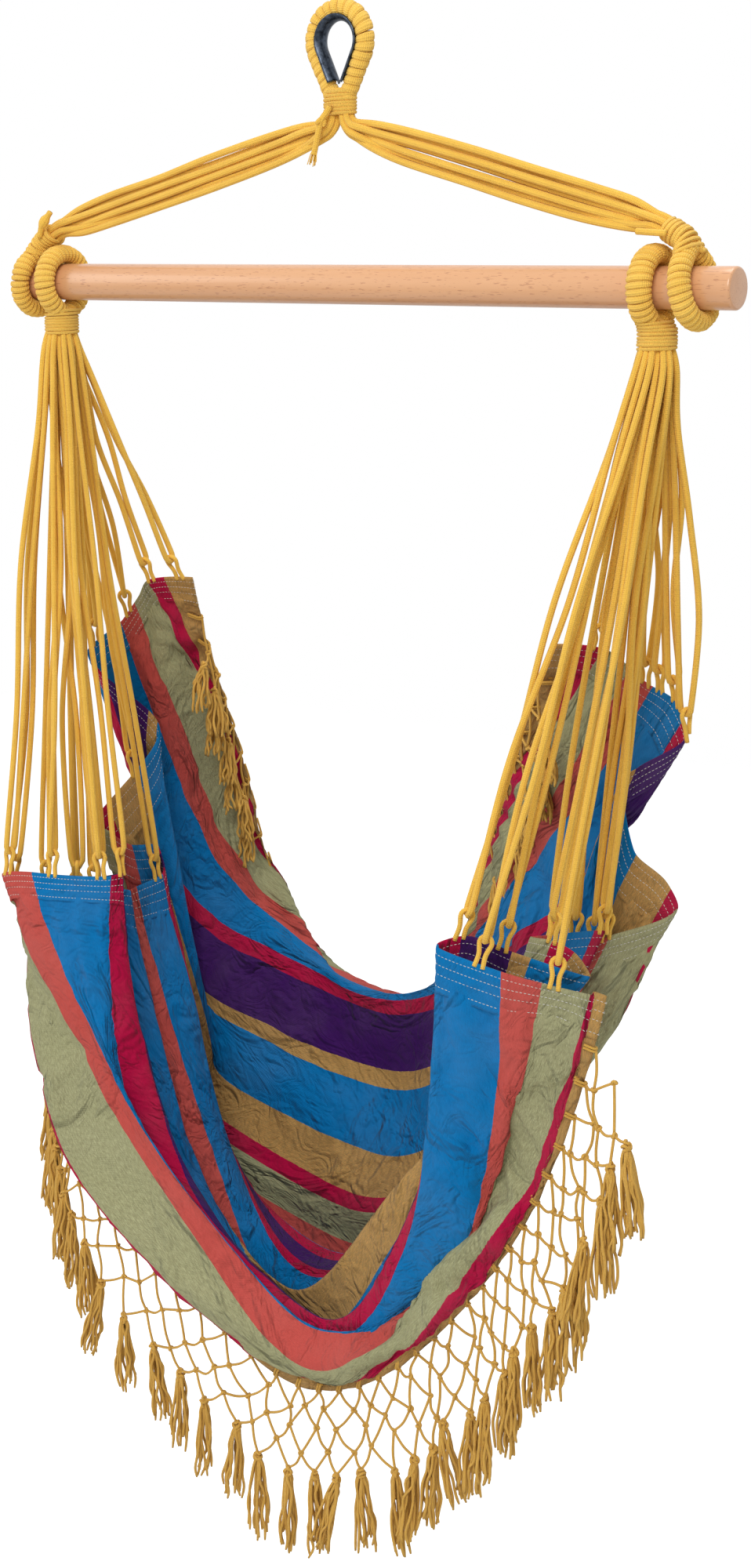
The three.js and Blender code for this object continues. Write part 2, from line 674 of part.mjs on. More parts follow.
// Nets: squares of cord below an edge of the cloth, and the places of their lowest knots
function edgeNet(edge, columns, rows, startShare, endShare) {
  const beyond = edge === 1 ? 1 : -1;
  const columnPlaces = [];
  for (let i = 0; i <= columns; i++) {
    const s = startShare + ((endShare - startShare) * i) / columns;
    const halfShare = netCordDiameter / 2 / clothLength;
    columnPlaces.push(s - halfShare, s + halfShare);
  }
  const rowPlaces = [];
  for (let k = 0; k <= rows; k++) {
    const distance = ((netDrop - netCordDiameter) * k) / rows;
    rowPlaces.push(distance, distance + netCordDiameter);
  }
  const frameAt = (s) => {
    const frame = clothFrame(s, edge);
    const span = clothPoint(Math.min(1, s + netSlopeShare), edge)
      .sub(clothPoint(Math.max(0, s - netSlopeShare), edge)).normalize();
    const outwards = new THREE.Vector3().crossVectors(frame.normal, span).normalize();
    if (outwards.dot(frame.alongHems) * beyond < 0) outwards.negate();
    const fall = down.clone().addScaledVector(span, -down.dot(span)).normalize();
    const hang = fall.multiplyScalar(netFallShare)
      .addScaledVector(down, netHangShare)
      .addScaledVector(front, beyond * netLeanShare)
      .normalize();
    const out = new THREE.Vector3().crossVectors(span, hang).normalize();
    const start = frame.point.clone().addScaledVector(outwards, netEdgeGap + netCordDiameter / 2);
    return { start, hang, out };
  };
  const frames = columnPlaces.map(frameAt);
  const grid = rowPlaces.map((distance) => frames.map((frame) => ({
    point: frame.start.clone().addScaledVector(frame.hang, distance),
    normal: frame.out,
    thickness: netCordDiameter,
  })));
  const solid = maskedSheet(grid, (i, j) => i % 2 === 0 || j % 2 === 0);
  return { solid, frameAt };
}

// A tassel: a knot, a neck and a skirt of strands below a knot of the net
function tasselAt(knot) {
  const rings = tasselShares.map(([dropShare, widthShare]) => {
    const middle = knot.clone().addScaledVector(down, (dropShare - tasselRootShare) * tasselLength);
    return regularSection(tasselSides, widthShare * tasselWidth).map((p) => middle.clone()
      .addScaledVector(right, p.x)
      .addScaledVector(front, p.y));
  });
  return loftRings(rings);
}

// Hem loops and the doubled cords that pass through them
function hemAttachment(hem, t, gatherPoint) {
  const edgePoint = (share) => clothPoint(hem, Math.min(1, Math.max(0, share)));
  const half = hemLoopHalfWidth;
  const base = edgePoint(t);
  const along = edgePoint(t + slopeShare * 2).sub(edgePoint(t - slopeShare * 2)).normalize();
  const rise = gatherPoint.clone().sub(base).normalize();
  const level = along.clone().addScaledVector(rise, -along.dot(rise)).normalize();
  const across = new THREE.Vector3().crossVectors(rise, level).normalize();
  const feet = [-1, 1].map((side) => base.clone()
    .addScaledVector(along, side * half)
    .addScaledVector(rise, -hemLoopRoot));
  const crown = base.clone().addScaledVector(rise, hemLoopHeight);
  const loop = [feet[0]];
  for (let k = 0; k <= hemLoopSteps; k++) {
    const angle = Math.PI - (Math.PI * k) / hemLoopSteps;
    const reach = half / Math.cos(Math.PI / 2 / hemLoopSteps);
    loop.push(crown.clone()
      .addScaledVector(level, reach * Math.cos(angle))
      .addScaledVector(rise, reach * Math.sin(angle) - half));
  }
  loop.push(feet[1]);
  const bightRadius = hemLoopRadius + suspensionRadius + loopClearance;
  const bightBottom = crown.clone().addScaledVector(rise, -hemLoopRadius - suspensionRadius - fitGap);
  const bight = [];
  for (let k = 0; k <= bightSteps; k++) {
    const angle = Math.PI + (Math.PI * k) / bightSteps;
    const reach = bightRadius / Math.cos(Math.PI / 2 / bightSteps);
    bight.push(bightBottom.clone()
      .addScaledVector(across, reach * Math.cos(angle))
      .addScaledVector(rise, bightRadius + reach * Math.sin(angle)));
  }
  return { loop, bight };
}

function closestOnSegments(a0, a1, b0, b1) {
  const a = a1.clone().sub(a0);
  const b = b1.clone().sub(b0);
  const r = a0.clone().sub(b0);
  const aa = a.dot(a);
  const bb = b.dot(b);
  const ab = a.dot(b);
  const ar = a.dot(r);
  const br = b.dot(r);
  const spread = aa * bb - ab * ab;
  let u = spread > 0 ? THREE.MathUtils.clamp((ab * br - ar * bb) / spread, 0, 1) : 0;
  let v = (ab * u + br) / bb;
  if (v < 0 || v > 1) {
    v = THREE.MathUtils.clamp(v, 0, 1);
    u = THREE.MathUtils.clamp((ab * v - ar) / aa, 0, 1);
  }
  const apart = a0.clone().addScaledVector(a, u).sub(b0.clone().addScaledVector(b, v));
  return { u, v, apart, distance: apart.length() };
}

// The cords of one bundle are pressed aside where they would run through one another
function pressApart(paths, spacing) {
  let least = 0;
  for (let round = 0; round < pressRounds; round++) {
    least = Infinity;
    for (let i = 0; i < paths.length; i++) {
      for (let j = i + 1; j < paths.length; j++) {
        for (let a = 0; a + 1 < paths[i].length; a++) {
          for (let b = 0; b + 1 < paths[j].length; b++) {
            const near = closestOnSegments(paths[i][a], paths[i][a + 1], paths[j][b], paths[j][b + 1]);
            least = Math.min(least, near.distance);
            if (near.distance >= spacing || near.distance === 0) continue;
            const push = near.apart.setLength((spacing - near.distance) / 2);
            const shift = (path, place, share, sign) => {
              if (place > 0 && place < path.length - 1) path[place].addScaledVector(push, sign * share);
            };
            shift(paths[i], a, 1 - near.u, 1);
            shift(paths[i], a + 1, near.u, 1);
            shift(paths[j], b, 1 - near.v, -1);
            shift(paths[j], b + 1, near.v, -1);
          }
        }
      }
    }
    if (least >= spacing - pressTolerance) break;
  }
  return least;
}

// Places for the cords of a bundle, in rows of even pitch, nearest to the middle first
function bundlePlaces(count, pitch) {
  const places = [];
  const reach = Math.ceil(Math.sqrt(count));
  for (let row = -reach; row <= reach; row++) {
    for (let k = -reach; k <= reach; k++) {
      places.push({ x: (k + (row % 2 ? 1 / 2 : 0)) * pitch, y: row * pitch * Math.sin(Math.PI / 3), row });
    }
  }
  places.sort((a, b) => Math.hypot(a.x, a.y) - Math.hypot(b.x, b.y) || a.y - b.y || a.x - b.x);
  return places.slice(0, count);
}

function suspension(name, hem, ringX, loopShares, plug) {
  const bundleTop = new THREE.Vector3(ringX, 0, suspensionTopLevel - bundleRoot);
  const attachments = loopShares.map((t) => hemAttachment(hem, t, bundleTop));
  const legs = [];
  for (const attachment of attachments) {
    for (const end of [attachment.bight[0], attachment.bight[attachment.bight.length - 1]]) {
      const fall = end.clone().sub(bundleTop);
      legs.push({ end, slopeX: fall.x / -fall.z, slopeY: fall.y / -fall.z });
    }
  }
  const places = bundlePlaces(legs.length, bundlePitch);
  const rows = [...new Set(places.map((place) => place.row))].sort((a, b) => a - b);
  const byDepth = [...legs].sort((a, b) => a.slopeY - b.slopeY);
  for (const row of rows) {
    const rowPlaces = places.filter((place) => place.row === row).sort((a, b) => a.x - b.x);
    const rowLegs = byDepth.splice(0, rowPlaces.length).sort((a, b) => a.slopeX - b.slopeX);
    rowLegs.forEach((leg, k) => {
      const top = bundleTop.clone().add(new THREE.Vector3(rowPlaces[k].x, rowPlaces[k].y, 0));
      leg.path = legShares.map((share) => top.clone().lerp(leg.end, share));
    });
  }
  const least = pressApart(legs.map((leg) => leg.path), suspensionCordDiameter + bundleGap);
  console.log(`${name}: least distance between cord middles ${least.toFixed(2)} mm`);
  const cords = attachments.map((attachment, k) => {
    const [first, second] = [legs[2 * k].path, legs[2 * k + 1].path];
    return cordThrough(
      [...first, ...attachment.bight.slice(1, -1), ...[...second].reverse()],
      suspensionCordDiameter,
      suspensionSides,
    );
  });
  const loops = attachments.map(({ loop }) => cordThrough(loop, hemLoopDiameter, hemLoopSides));
  const flare = loftRings(flareShares.map(([dropShare, widthShare]) => regularSection(
    plugSides,
    widthShare * 2 * bundleReach,
  ).map((p) => new THREE.Vector3(ringX + p.x, p.y, suspensionTopLevel - dropShare * bundleRoot))));
  const rooms = attachments.map((attachment, k) => cordThrough(
    [...legs[2 * k].path, ...attachment.bight.slice(1, -1), ...[...legs[2 * k + 1].path].reverse()],
    suspensionCordDiameter + 2 * fitGap,
    suspensionSides,
  ));
  return { cords: join([plug, flare, ...cords]), loops, rooms };
}

// Hanging eye, its circle in the plane of the bar and its throat below
const eyeCentre = new THREE.Vector3(0, 0, -thimbleInnerRadius);
const eyeShape = {
  centre: eyeCentre, radius: eyeRadius, across: right, towards: down, openAngle: eyeOpenAngle,
};
const eyeLoop = dropLoop({ ...eyeShape, legShare: eyeLegShare });
const thimbleLoop = dropLoop({ ...eyeShape, legShare: thimbleLegShare });
const thimbleRings = [];
for (let k = 0; k <= thimbleSteps; k++) {
  const frame = thimbleLoop.at((thimbleLoop.total * k) / thimbleSteps);
  const crescent = [];
  for (const [radius, turn] of [[thimbleSeatRadius, 1], [thimbleSeatRadius + thimbleWall, -1]]) {
    for (let i = 0; i <= thimbleSections; i++) {
      const angle = turn * thimbleReach * ((2 * i) / thimbleSections - 1);
      crescent.push(frame.point.clone()
        .addScaledVector(frame.out, -radius * Math.cos(angle))
        .addScaledVector(thimbleLoop.normal, radius * Math.sin(angle)));
    }
  }
  thimbleRings.push(crescent);
}
addPiece('eye_thimble', loftRings(thimbleRings), steelMaterial);
const eyeThroat = throat('eye throat', {
  centre: new THREE.Vector3(0, 0, -eyeThroatMiddle),
  axis: up,
  cordDiameter: throatCordDiameter,
  halfWidth: throatHalfWidth,
  halfDepth: eyeThroatHalfDepth,
  height: eyeThroatHeight,
  turns: throatTurns,
});
const eyeCoreLoop = dropLoop({ ...eyeShape, legShare: eyeCoreLegShare });
addPiece('eye_core', join([loopCore(eyeCoreLoop, eyeCoreSteps), eyeThroat.plug]), cordMaterial);
addPiece('eye_whipping', whipping('eye whipping', eyeLoop, eyeTurns, whippingWidthShare), cordMaterial);
addPiece('eye_throat_band', eyeThroat.winding, cordMaterial);

// Knotted tail of the eye's whipping, in front of the throat
const tailStart = new THREE.Vector3(
  eyeTailShift,
  -eyeThroatHalfDepth - tailDiameter / 2 - fitGap + eyeTailInset,
  -eyeThroatMiddle,
);
const tailPointShares = [
  [0, 0, 0], [-0.6, -0.2, -1], [-1.1, -0.65, -1.9], [-1.7, -0.45, -2.8], [-3, -0.45, -7.5],
];
const tailWidthShares = [1, 1, 1.9, 1, 1.5];
addPiece('eye_tail', cordThrough(
  tailPointShares.map((p) => tailStart.clone().add(new THREE.Vector3(...p).multiplyScalar(tailDiameter))),
  tailDiameter,
  tailSides,
  tailWidthShares,
), cordMaterial);

// Rings round the bar. The cords of their cores run into their throats, which the bridle's
// rings have above the bar, drawn over towards the eye, and the seat's right below it.
function barRing(name, ringX, towards, throatShape) {
  const shape = {
    centre: new THREE.Vector3(ringX, 0, -barDrop), radius: ringRadius, across: front, towards,
    openAngle: ringOpenAngle,
  };
  const coreLoop = dropLoop({ ...shape, legShare: ringCoreLegShare });
  const whippingLoop = dropLoop({ ...shape, legShare: throatShape.whippingLegShare });
  const ringThroat = throat(`${name} throat`, {
    ...throatShape, height: ringThroatHeight, turns: throatTurns,
  });
  const mouth = throatShape.centre.clone()
    .addScaledVector(throatShape.inward, ringThroatHeight / 2 + plugProud / 2 + fitGap);
  const leads = [0, coreLoop.total].map((distance) => {
    const { point } = coreLoop.at(distance);
    return throatShape.leadLengths.map((length) => new THREE.Vector3(mouth.x, point.y, mouth.z)
      .addScaledVector(throatShape.inward, length));
  });
  const corePoints = [];
  for (let k = 0; k <= ringCoreSteps; k++) {
    corePoints.push(coreLoop.at((coreLoop.total * k) / ringCoreSteps).point);
  }
  return {
    core: cordThrough([...leads[0], ...corePoints, ...leads[1].reverse()], coreDiameter, coreSides),
    whipping: whipping(`${name} whipping`, whippingLoop, ringTurns, ringWhippingWidthShare),
    band: ringThroat.winding,
    plug: ringThroat.plug,
  };
}

const sides = [
  { side: 'left', sign: -1, bridleShare: ringPlaceShares.bridleLeft, seatShare: ringPlaceShares.seatLeft },
  { side: 'right', sign: 1, bridleShare: ringPlaceShares.bridleRight, seatShare: ringPlaceShares.seatRight },
];

for (const { side, sign, bridleShare } of sides) {
  const ringX = bridleShare * barLength;
  const leaning = up.clone().multiplyScalar(Math.cos(bridleRingLean))
    .addScaledVector(right, -sign * Math.sin(bridleRingLean));
  const centre = bridleThroatCentre(sign, ringX);
  const axis = bridleThroatAxis(sign);
  const ring = barRing(`${side} bridle ring`, ringX, leaning, {
    centre,
    axis,
    inward: axis.clone().negate(),
    leadLengths: bridleLeadLengths,
    whippingLegShare: bridleWhippingLegShare,
    cordDiameter: bridleThroatCordDiameter,
    halfWidth: bridleThroatHalfWidth,
    halfDepth: bridleThroatHalfDepth,
  });
  addPiece(`bridle_ring_core_${side}`, ring.core, cordMaterial);
  addPiece(`bridle_ring_whipping_${side}`, ring.whipping, cordMaterial);
  addPiece(`bridle_throat_band_${side}`, ring.band, cordMaterial);
  addPiece(`bridle_cords_${side}`, bridleLeg(sign, ringX, ring.plug), cordMaterial);
  const start = centre.clone().addScaledVector(
    front,
    bridleThroatHalfDepth + tailDiameter / 2 + fitGap - ringTailInsets[side],
  );
  const places = ringTailShares[side];
  addPiece(`bridle_ring_tail_${side}`, cordThrough(
    places.map((p) => start.clone().add(new THREE.Vector3(...p).multiplyScalar(tailDiameter))),
    tailDiameter,
    tailSides,
  ), cordMaterial);
}

// Spreader bar, turned from one round length of beech
const barProfile = [
  [0, -barLength / 2],
  [barRadius - barEndRound, -barLength / 2],
  [barRadius, -barLength / 2 + barEndRound],
  [barRadius, barLength / 2 - barEndRound],
  [barRadius - barEndRound, barLength / 2],
  [0, barLength / 2],
].map(([x, y]) => new THREE.Vector2(x, y));
const bar = new THREE.LatheGeometry(barProfile, barSides);
bar.rotateZ(-Math.PI / 2);
bar.translate(barShift, 0, -barDrop);
addPiece('spreader_bar', bar, beechMaterial);

// Seat
const cordRooms = [];
for (const { side, seatShare } of sides) {
  const ringX = seatShare * barLength;
  const hem = side === 'left' ? 0 : 1;
  const ring = barRing(`${side} seat ring`, ringX, down, {
    centre: new THREE.Vector3(ringX, 0, -barDrop - seatThroatMiddle),
    axis: up,
    inward: up,
    leadLengths: seatLeadLengths,
    whippingLegShare: seatWhippingLegShare,
    cordDiameter: throatCordDiameter,
    halfWidth: throatHalfWidth,
    halfDepth: throatHalfWidth,
  });
  addPiece(`seat_ring_core_${side}`, ring.core, cordMaterial);
  addPiece(`seat_ring_whipping_${side}`, ring.whipping, cordMaterial);
  addPiece(`seat_throat_band_${side}`, ring.band, cordMaterial);
  const hung = suspension(`${side} suspension cords`, hem, ringX, hemLoopShares[side], ring.plug);
  addPiece(`suspension_cords_${side}`, hung.cords, cordMaterial);
  cordRooms.push(...hung.rooms);
  const bandShares = side === 'left' ? [0, hemShare] : [1 - hemShare, 1];
  const band = join([clothStrip(bandShares, hemThickness), ...hung.loops]);
  addPiece(`hem_band_${side}`, band, hemMaterial);
}
const clothSkin = clothLengths(innerShares, clothThickness + 2 * fitGap);
const hemSkins = [[0, hemShare], [1 - hemShare, 1]]
  .flatMap((bandShares) => clothLengths(bandShares, hemThickness + 2 * fitGap));
const thickCloth = clothStrip(innerShares, clothThickness + 2 * fitGap);
const cloth = clothStrip(innerShares, clothThickness);
addPiece('seat_cloth', besides(cloth, [...hemSkins, ...cordRooms]), clothMaterial);

for (const { name, edge, columns, rows, from, to } of fringes) {
  const net = edgeNet(edge, columns, rows, from, to);
  const tassels = [];
  for (let k = 0; k <= columns; k++) {
    const frame = net.frameAt(from + ((to - from) * k) / columns);
    const knot = frame.start.clone().addScaledVector(frame.hang, netDrop - netCordDiameter / 2);
    tassels.push(tasselAt(knot));
  }
  const fringe = besides(join([net.solid, ...tassels]), [...clothSkin, ...hemSkins, thickCloth]);
  addPiece(name, fringe, fringeMaterial);
}

export default chair;
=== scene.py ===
# Hammock chair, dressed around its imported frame. Metres, +Z up, +X along the bar,
# -Y towards the front edge of the seat; the origin is the inner crown of the thimble.
import math

import bpy
import numpy as np
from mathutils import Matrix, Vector


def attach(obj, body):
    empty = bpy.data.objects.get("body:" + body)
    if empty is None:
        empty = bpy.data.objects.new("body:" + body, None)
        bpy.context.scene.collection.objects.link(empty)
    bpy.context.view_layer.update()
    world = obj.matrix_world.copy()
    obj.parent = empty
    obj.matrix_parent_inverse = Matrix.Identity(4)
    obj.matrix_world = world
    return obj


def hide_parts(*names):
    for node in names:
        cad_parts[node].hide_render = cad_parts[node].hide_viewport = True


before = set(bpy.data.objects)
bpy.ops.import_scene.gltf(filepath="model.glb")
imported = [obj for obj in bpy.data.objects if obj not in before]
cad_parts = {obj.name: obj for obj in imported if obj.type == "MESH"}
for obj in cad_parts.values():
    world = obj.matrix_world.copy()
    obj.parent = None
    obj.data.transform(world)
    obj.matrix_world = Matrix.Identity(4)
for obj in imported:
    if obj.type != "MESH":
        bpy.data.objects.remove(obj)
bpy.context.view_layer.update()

X, Y, Z = np.eye(3)

# Camera, fitted to the bar and to the eye of the photographed chair
camera_place = (1.5335, -2.0938, -0.2554)
camera_azimuth = math.radians(35.33)
camera_pitch = math.radians(13.67)
camera_lens = 50.05
camera_sensor = 36.0

camera_data = bpy.data.cameras.new("camera")
camera_data.sensor_fit = "VERTICAL"
camera_data.sensor_height = camera_sensor
camera_data.lens = camera_lens
camera = bpy.data.objects.new("camera", camera_data)
camera.location = camera_place
looking = Vector((
    -math.sin(camera_azimuth) * math.cos(camera_pitch),
    math.cos(camera_azimuth) * math.cos(camera_pitch),
    -math.sin(camera_pitch),
))
camera.rotation_euler = looking.to_track_quat("-Z", "Y").to_euler()
bpy.context.collection.objects.link(camera)
bpy.context.scene.camera = camera

# Bar, cloth and hems, in the sizes of the frame
bar_length = 1.0
bar_diameter = 0.045
bar_drop = 0.29
bar_shift = 0.008
bar_arris = 0.003
seat_drop = 1.25
seat_depth = 0.4
cloth_width = 1.8
cloth_length = 1.38
cloth_thickness = 0.0016
cloth_grid = (136, 92)
cloth_roughness = 0.0006
cloth_hold = 0.10
settling_frames = 26
settling_slack = 0.06
most_settling = 0.022
hem_height = 0.04
hem_thickness = 0.0034
hem_ripple = 0.021
hem_stitch_shares = (0.12, 0.35, 0.60, 0.86)
stitch_pitch = 0.0046
stitch_length = 0.0033
stitch_width = 0.0009

# Whippings, rings and throats
whipped_diameter = 0.0226
whipping_height = 0.0075
ring_turns = 34
eye_turns = 29
turn_steps = 16
turn_sides = 12
turn_lean = 0.04
turn_swell = 0.035
turn_overlap = 1.05
swell_reach = 0.006
wound_softness = 0.84
core_cord = 0.0084
ring_open_angle = math.radians(35)
eye_open_angle = math.radians(65)
ring_leg_share = 0.93
ring_neck_share = 0.9
eye_leg_share = 0.9
eye_neck_share = 0.8
thimble_leg_share = 0.5
thimble_inner_radius = 0.0209
thimble_wall = 0.002
thimble_reach = math.radians(60)
running_clearance = 0.0008
fit_gap = 0.00035
throat_cord = 0.0058
throat_turns = 5
throat_turn_steps = 32
throat_overlap = 1.08
throat_wave = 0.0005
throat_swell = 0.05
throat_inside = 0.012
plug_reach_shares = (0.04, 0.92)
cone_turns = 3
ring_widths = {"bridle": 1.2, "seat": 1.45}
throat_half_width = 0.022
eye_throat_half_depth = 0.0125
eye_throat_height = 0.0215
eye_join_height = 0.011
eye_join_half_width = 0.0240
eye_join_half_depth = 0.0132
ring_throat_height = 0.0225
ring_throat_start = 0.0325
ring_join_margin = 0.0018
ring_join_depth = 0.029
ring_cone_depth = 0.03
seat_throat_middle = 0.0547
bridle_throat_cord = 0.0052
bridle_throat_half_width = 0.014
bridle_throat_half_depth = 0.019
bridle_throat_inset = 0.0215
bridle_throat_rise = 0.0554
bridle_throat_lean = math.radians(60)
eye_throat_middle = 0.0928
ring_places = {"bridle_left": -0.478, "seat_left": -0.443, "seat_right": 0.415, "bridle_right": 0.455}

# Bridle, suspension cords and loops
bridle_cord = 0.008
bridle_cord_gap = 0.0002
bridle_fullness = 1.03
bridle_top_inset = 0.0126
bridle_bend_radius = 0.016
bridle_end_bend_radius = 0.06
bridle_ribbon_pitch = 0.0055
bridle_ribbon_zigzag = 0.0030
suspension_cord = 0.007
suspension_fullness = 1.06
hem_loop_cord = 0.0056
hem_loop_height = 0.032
bundle_pitch = 0.0079
bundle_root = 0.014
leg_shares = (0, 0.15, 0.42, 0.72, 1)
leg_sway_shares = (0, 0.2, 1, 0.8, 0)
leg_sway = 0.0055
leg_gap = 0.0004
press_rounds = 160
drawn_in_share = 0.62
loop_clearance = 0.001
tail_cord = 0.007

# Nets and tassels
net_cord = 0.0033
tassel_length = 0.106
back_tassel_length = 0.062
tassel_radius = 0.0135
tassel_neck = 0.002
strand = 0.0037
strand_wave = 0.0019
tassel_knots = ((0.004, 0.0048), (0.007, 0.0042))
net_knot = 0.0026
net_wave = 0.0035
thread_slack = 0.003
thread_wave = 0.0016
wrap_thread = 0.0030
wrap_half_pitch = 0.0018
wrap_lift = 0.0030
wrap_inset = 0.020

# Sizes that follow from these
whipped_radius = whipped_diameter / 2
bar_radius = bar_diameter / 2
ring_radius = bar_radius + running_clearance + whipped_radius
thimble_seat_radius = (whipped_radius + fit_gap) / math.cos(math.pi / 12)
eye_radius = thimble_inner_radius + thimble_wall + thimble_seat_radius
bridle_top_level = -eye_throat_middle - eye_throat_height / 2
bridle_ring_lean = math.acos((bar_radius + fit_gap + whipped_radius) / ring_radius)
suspension_top_level = -bar_drop - seat_throat_middle - ring_throat_height / 2
hem_share = hem_height / cloth_length

# Where the cords meet the hems, as shares of the cloth's width from its back edge
hem_loop_shares = {
    "left": [
        0.008, 0.033, 0.1, 0.135, 0.299, 0.556, 0.674, 0.757,
        0.778, 0.806, 0.833, 0.861, 0.889, 0.917, 0.944, 0.972,
    ],
    "right": [
        0.011, 0.033, 0.106, 0.128, 0.15, 0.181, 0.396, 0.417,
        0.48, 0.53, 0.59, 0.667, 0.794, 0.833, 0.889, 0.939,
    ],
}

# Lines of the cloth from its back to its front edge, hem to hem.
# Rows: share of the cloth's width, then x, y and the drop below the bar as shares.
guide_shares = [
    [
        (0, -0.354, 0.357, 0.311), (0.037, -0.426, 0.339, 0.318), (0.069, -0.449, 0.351, 0.338),
        (0.114, -0.473, 0.334, 0.365), (0.146, -0.496, 0.214, 0.397), (0.167, -0.484, 0.217, 0.411),
        (0.256, -0.422, 0.367, 0.486), (0.356, -0.436, 0.061, 0.574), (0.389, -0.417, 0.095, 0.585),
        (0.422, -0.417, 0.189, 0.605), (0.47, -0.414, 0.32, 0.615), (0.541, -0.391, 0.275, 0.641),
        (0.59, -0.398, 0.168, 0.648), (0.623, -0.417, 0.109, 0.654), (0.667, -0.457, 0.004, 0.654),
        (0.722, -0.386, 0.092, 0.646), (0.778, -0.411, -0.098, 0.629), (0.831, -0.332, -0.095, 0.605),
        (0.85, -0.337, -0.129, 0.606), (0.899, -0.434, -0.229, 0.608), (0.925, -0.496, -0.234, 0.617),
        (0.967, -0.493, -0.068, 0.639), (1, -0.497, 0.116, 0.663),
    ],
    [
        (0, -0.408, 0.859, 0.625), (0.037, -0.426, 0.817, 0.576), (0.061, -0.442, 0.772, 0.562),
        (0.079, -0.458, 0.708, 0.579), (0.114, -0.46, 0.66, 0.605), (0.161, -0.481, 0.599, 0.66),
        (0.18, -0.47, 0.582, 0.683), (0.229, -0.479, 0.528, 0.75), (0.243, -0.472, 0.558, 0.77),
        (0.293, -0.418, 0.63, 0.88), (0.356, -0.448, 0.526, 0.923), (0.389, -0.441, 0.481, 0.936),
        (0.422, -0.414, 0.465, 0.947), (0.47, -0.368, 0.46, 0.942), (0.522, -0.326, 0.404, 0.955),
        (0.59, -0.31, 0.239, 0.931), (0.623, -0.317, 0.146, 0.928), (0.668, -0.32, 0.095, 0.96),
        (0.722, -0.277, 0.135, 0.963), (0.778, -0.276, -0.012, 0.92), (0.831, -0.268, -0.133, 0.861),
        (0.85, -0.299, -0.222, 0.835), (0.899, -0.273, -0.262, 0.825), (0.932, -0.3, -0.278, 0.837),
        (0.967, -0.354, -0.294, 0.889), (1, -0.402, -0.121, 0.904),
    ],
    [
        (0, -0.124, 1.012, 0.953), (0.037, -0.142, 1, 0.905), (0.079, -0.161, 0.964, 0.838),
        (0.114, -0.174, 0.88, 0.796), (0.15, -0.181, 0.791, 0.776), (0.18, -0.178, 0.771, 0.794),
        (0.229, -0.163, 0.741, 0.859), (0.293, -0.13, 0.581, 0.933), (0.343, -0.15, 0.499, 1),
        (0.361, -0.157, 0.507, 1.014), (0.389, -0.144, 0.535, 1.044), (0.439, -0.152, 0.445, 1.093),
        (0.472, -0.143, 0.36, 1.029), (0.522, -0.129, 0.218, 1.029), (0.59, -0.133, 0.159, 1.075),
        (0.628, -0.102, 0.142, 1.139), (0.667, -0.093, 0.024, 1.082), (0.687, -0.097, -0.009, 1.017),
        (0.718, -0.032, -0.038, 1.035), (0.768, 0.037, -0.121, 1.071), (0.8, 0.037, -0.161, 1.039),
        (0.831, 0.021, -0.211, 0.995), (0.867, 0.032, -0.264, 1.017), (0.899, 0.034, -0.281, 0.994),
        (0.932, 0.046, -0.331, 1.032), (0.954, 0.044, -0.337, 1.042), (0.977, 0.033, -0.327, 1.054),
        (1, 0.018, -0.308, 1.078),
    ],
    [
        (0, 0.025, 0.709, 0.616), (0.037, 0.039, 0.684, 0.606), (0.079, 0.071, 0.654, 0.614),
        (0.114, 0.091, 0.62, 0.619), (0.161, 0.106, 0.561, 0.659), (0.18, 0.112, 0.556, 0.675),
        (0.229, 0.108, 0.507, 0.723), (0.243, 0.102, 0.48, 0.739), (0.293, 0.111, 0.406, 0.809),
        (0.343, 0.144, 0.37, 0.853), (0.389, 0.112, 0.254, 0.888), (0.422, 0.092, 0.237, 0.909),
        (0.47, 0.107, 0.221, 0.91), (0.541, 0.121, 0.101, 0.889), (0.59, 0.122, 0.014, 0.9),
        (0.667, 0.145, -0.101, 0.883), (0.687, 0.131, -0.109, 0.827), (0.718, 0.13, -0.164, 0.88),
        (0.768, 0.154, -0.194, 0.927), (0.8, 0.157, -0.227, 0.907), (0.831, 0.168, -0.298, 0.866),
        (0.85, 0.179, -0.322, 0.872), (0.899, 0.239, -0.297, 0.871), (0.922, 0.257, -0.291, 0.855),
        (0.944, 0.249, -0.322, 0.84), (0.977, 0.284, -0.307, 0.889), (1, 0.288, -0.288, 0.906),
    ],
    [
        (0, 0.265, 0.13, 0.323), (0.037, 0.302, 0.244, 0.329), (0.079, 0.327, 0.294, 0.346),
        (0.112, 0.351, 0.317, 0.363), (0.146, 0.389, 0.279, 0.37), (0.161, 0.406, 0.266, 0.385),
        (0.18, 0.414, 0.262, 0.4), (0.229, 0.364, 0.197, 0.434), (0.243, 0.346, 0.191, 0.446),
        (0.293, 0.358, 0.218, 0.515), (0.324, 0.392, 0.27, 0.546), (0.34, 0.404, 0.285, 0.568),
        (0.388, 0.341, 0.179, 0.597), (0.421, 0.316, 0.159, 0.606), (0.47, 0.301, 0.104, 0.6),
        (0.522, 0.342, 0.13, 0.589), (0.578, 0.31, 0.003, 0.586), (0.623, 0.3, -0.105, 0.581),
        (0.668, 0.347, -0.19, 0.571), (0.687, 0.376, -0.196, 0.577), (0.718, 0.401, -0.215, 0.594),
        (0.782, 0.322, -0.288, 0.578), (0.831, 0.276, -0.383, 0.561), (0.85, 0.26, -0.443, 0.565),
        (0.86, 0.264, -0.459, 0.567), (0.899, 0.332, -0.428, 0.58), (0.932, 0.381, -0.373, 0.59),
        (0.977, 0.428, -0.313, 0.598), (0.989, 0.428, -0.311, 0.595), (1, 0.44, -0.291, 0.599),
    ],
]

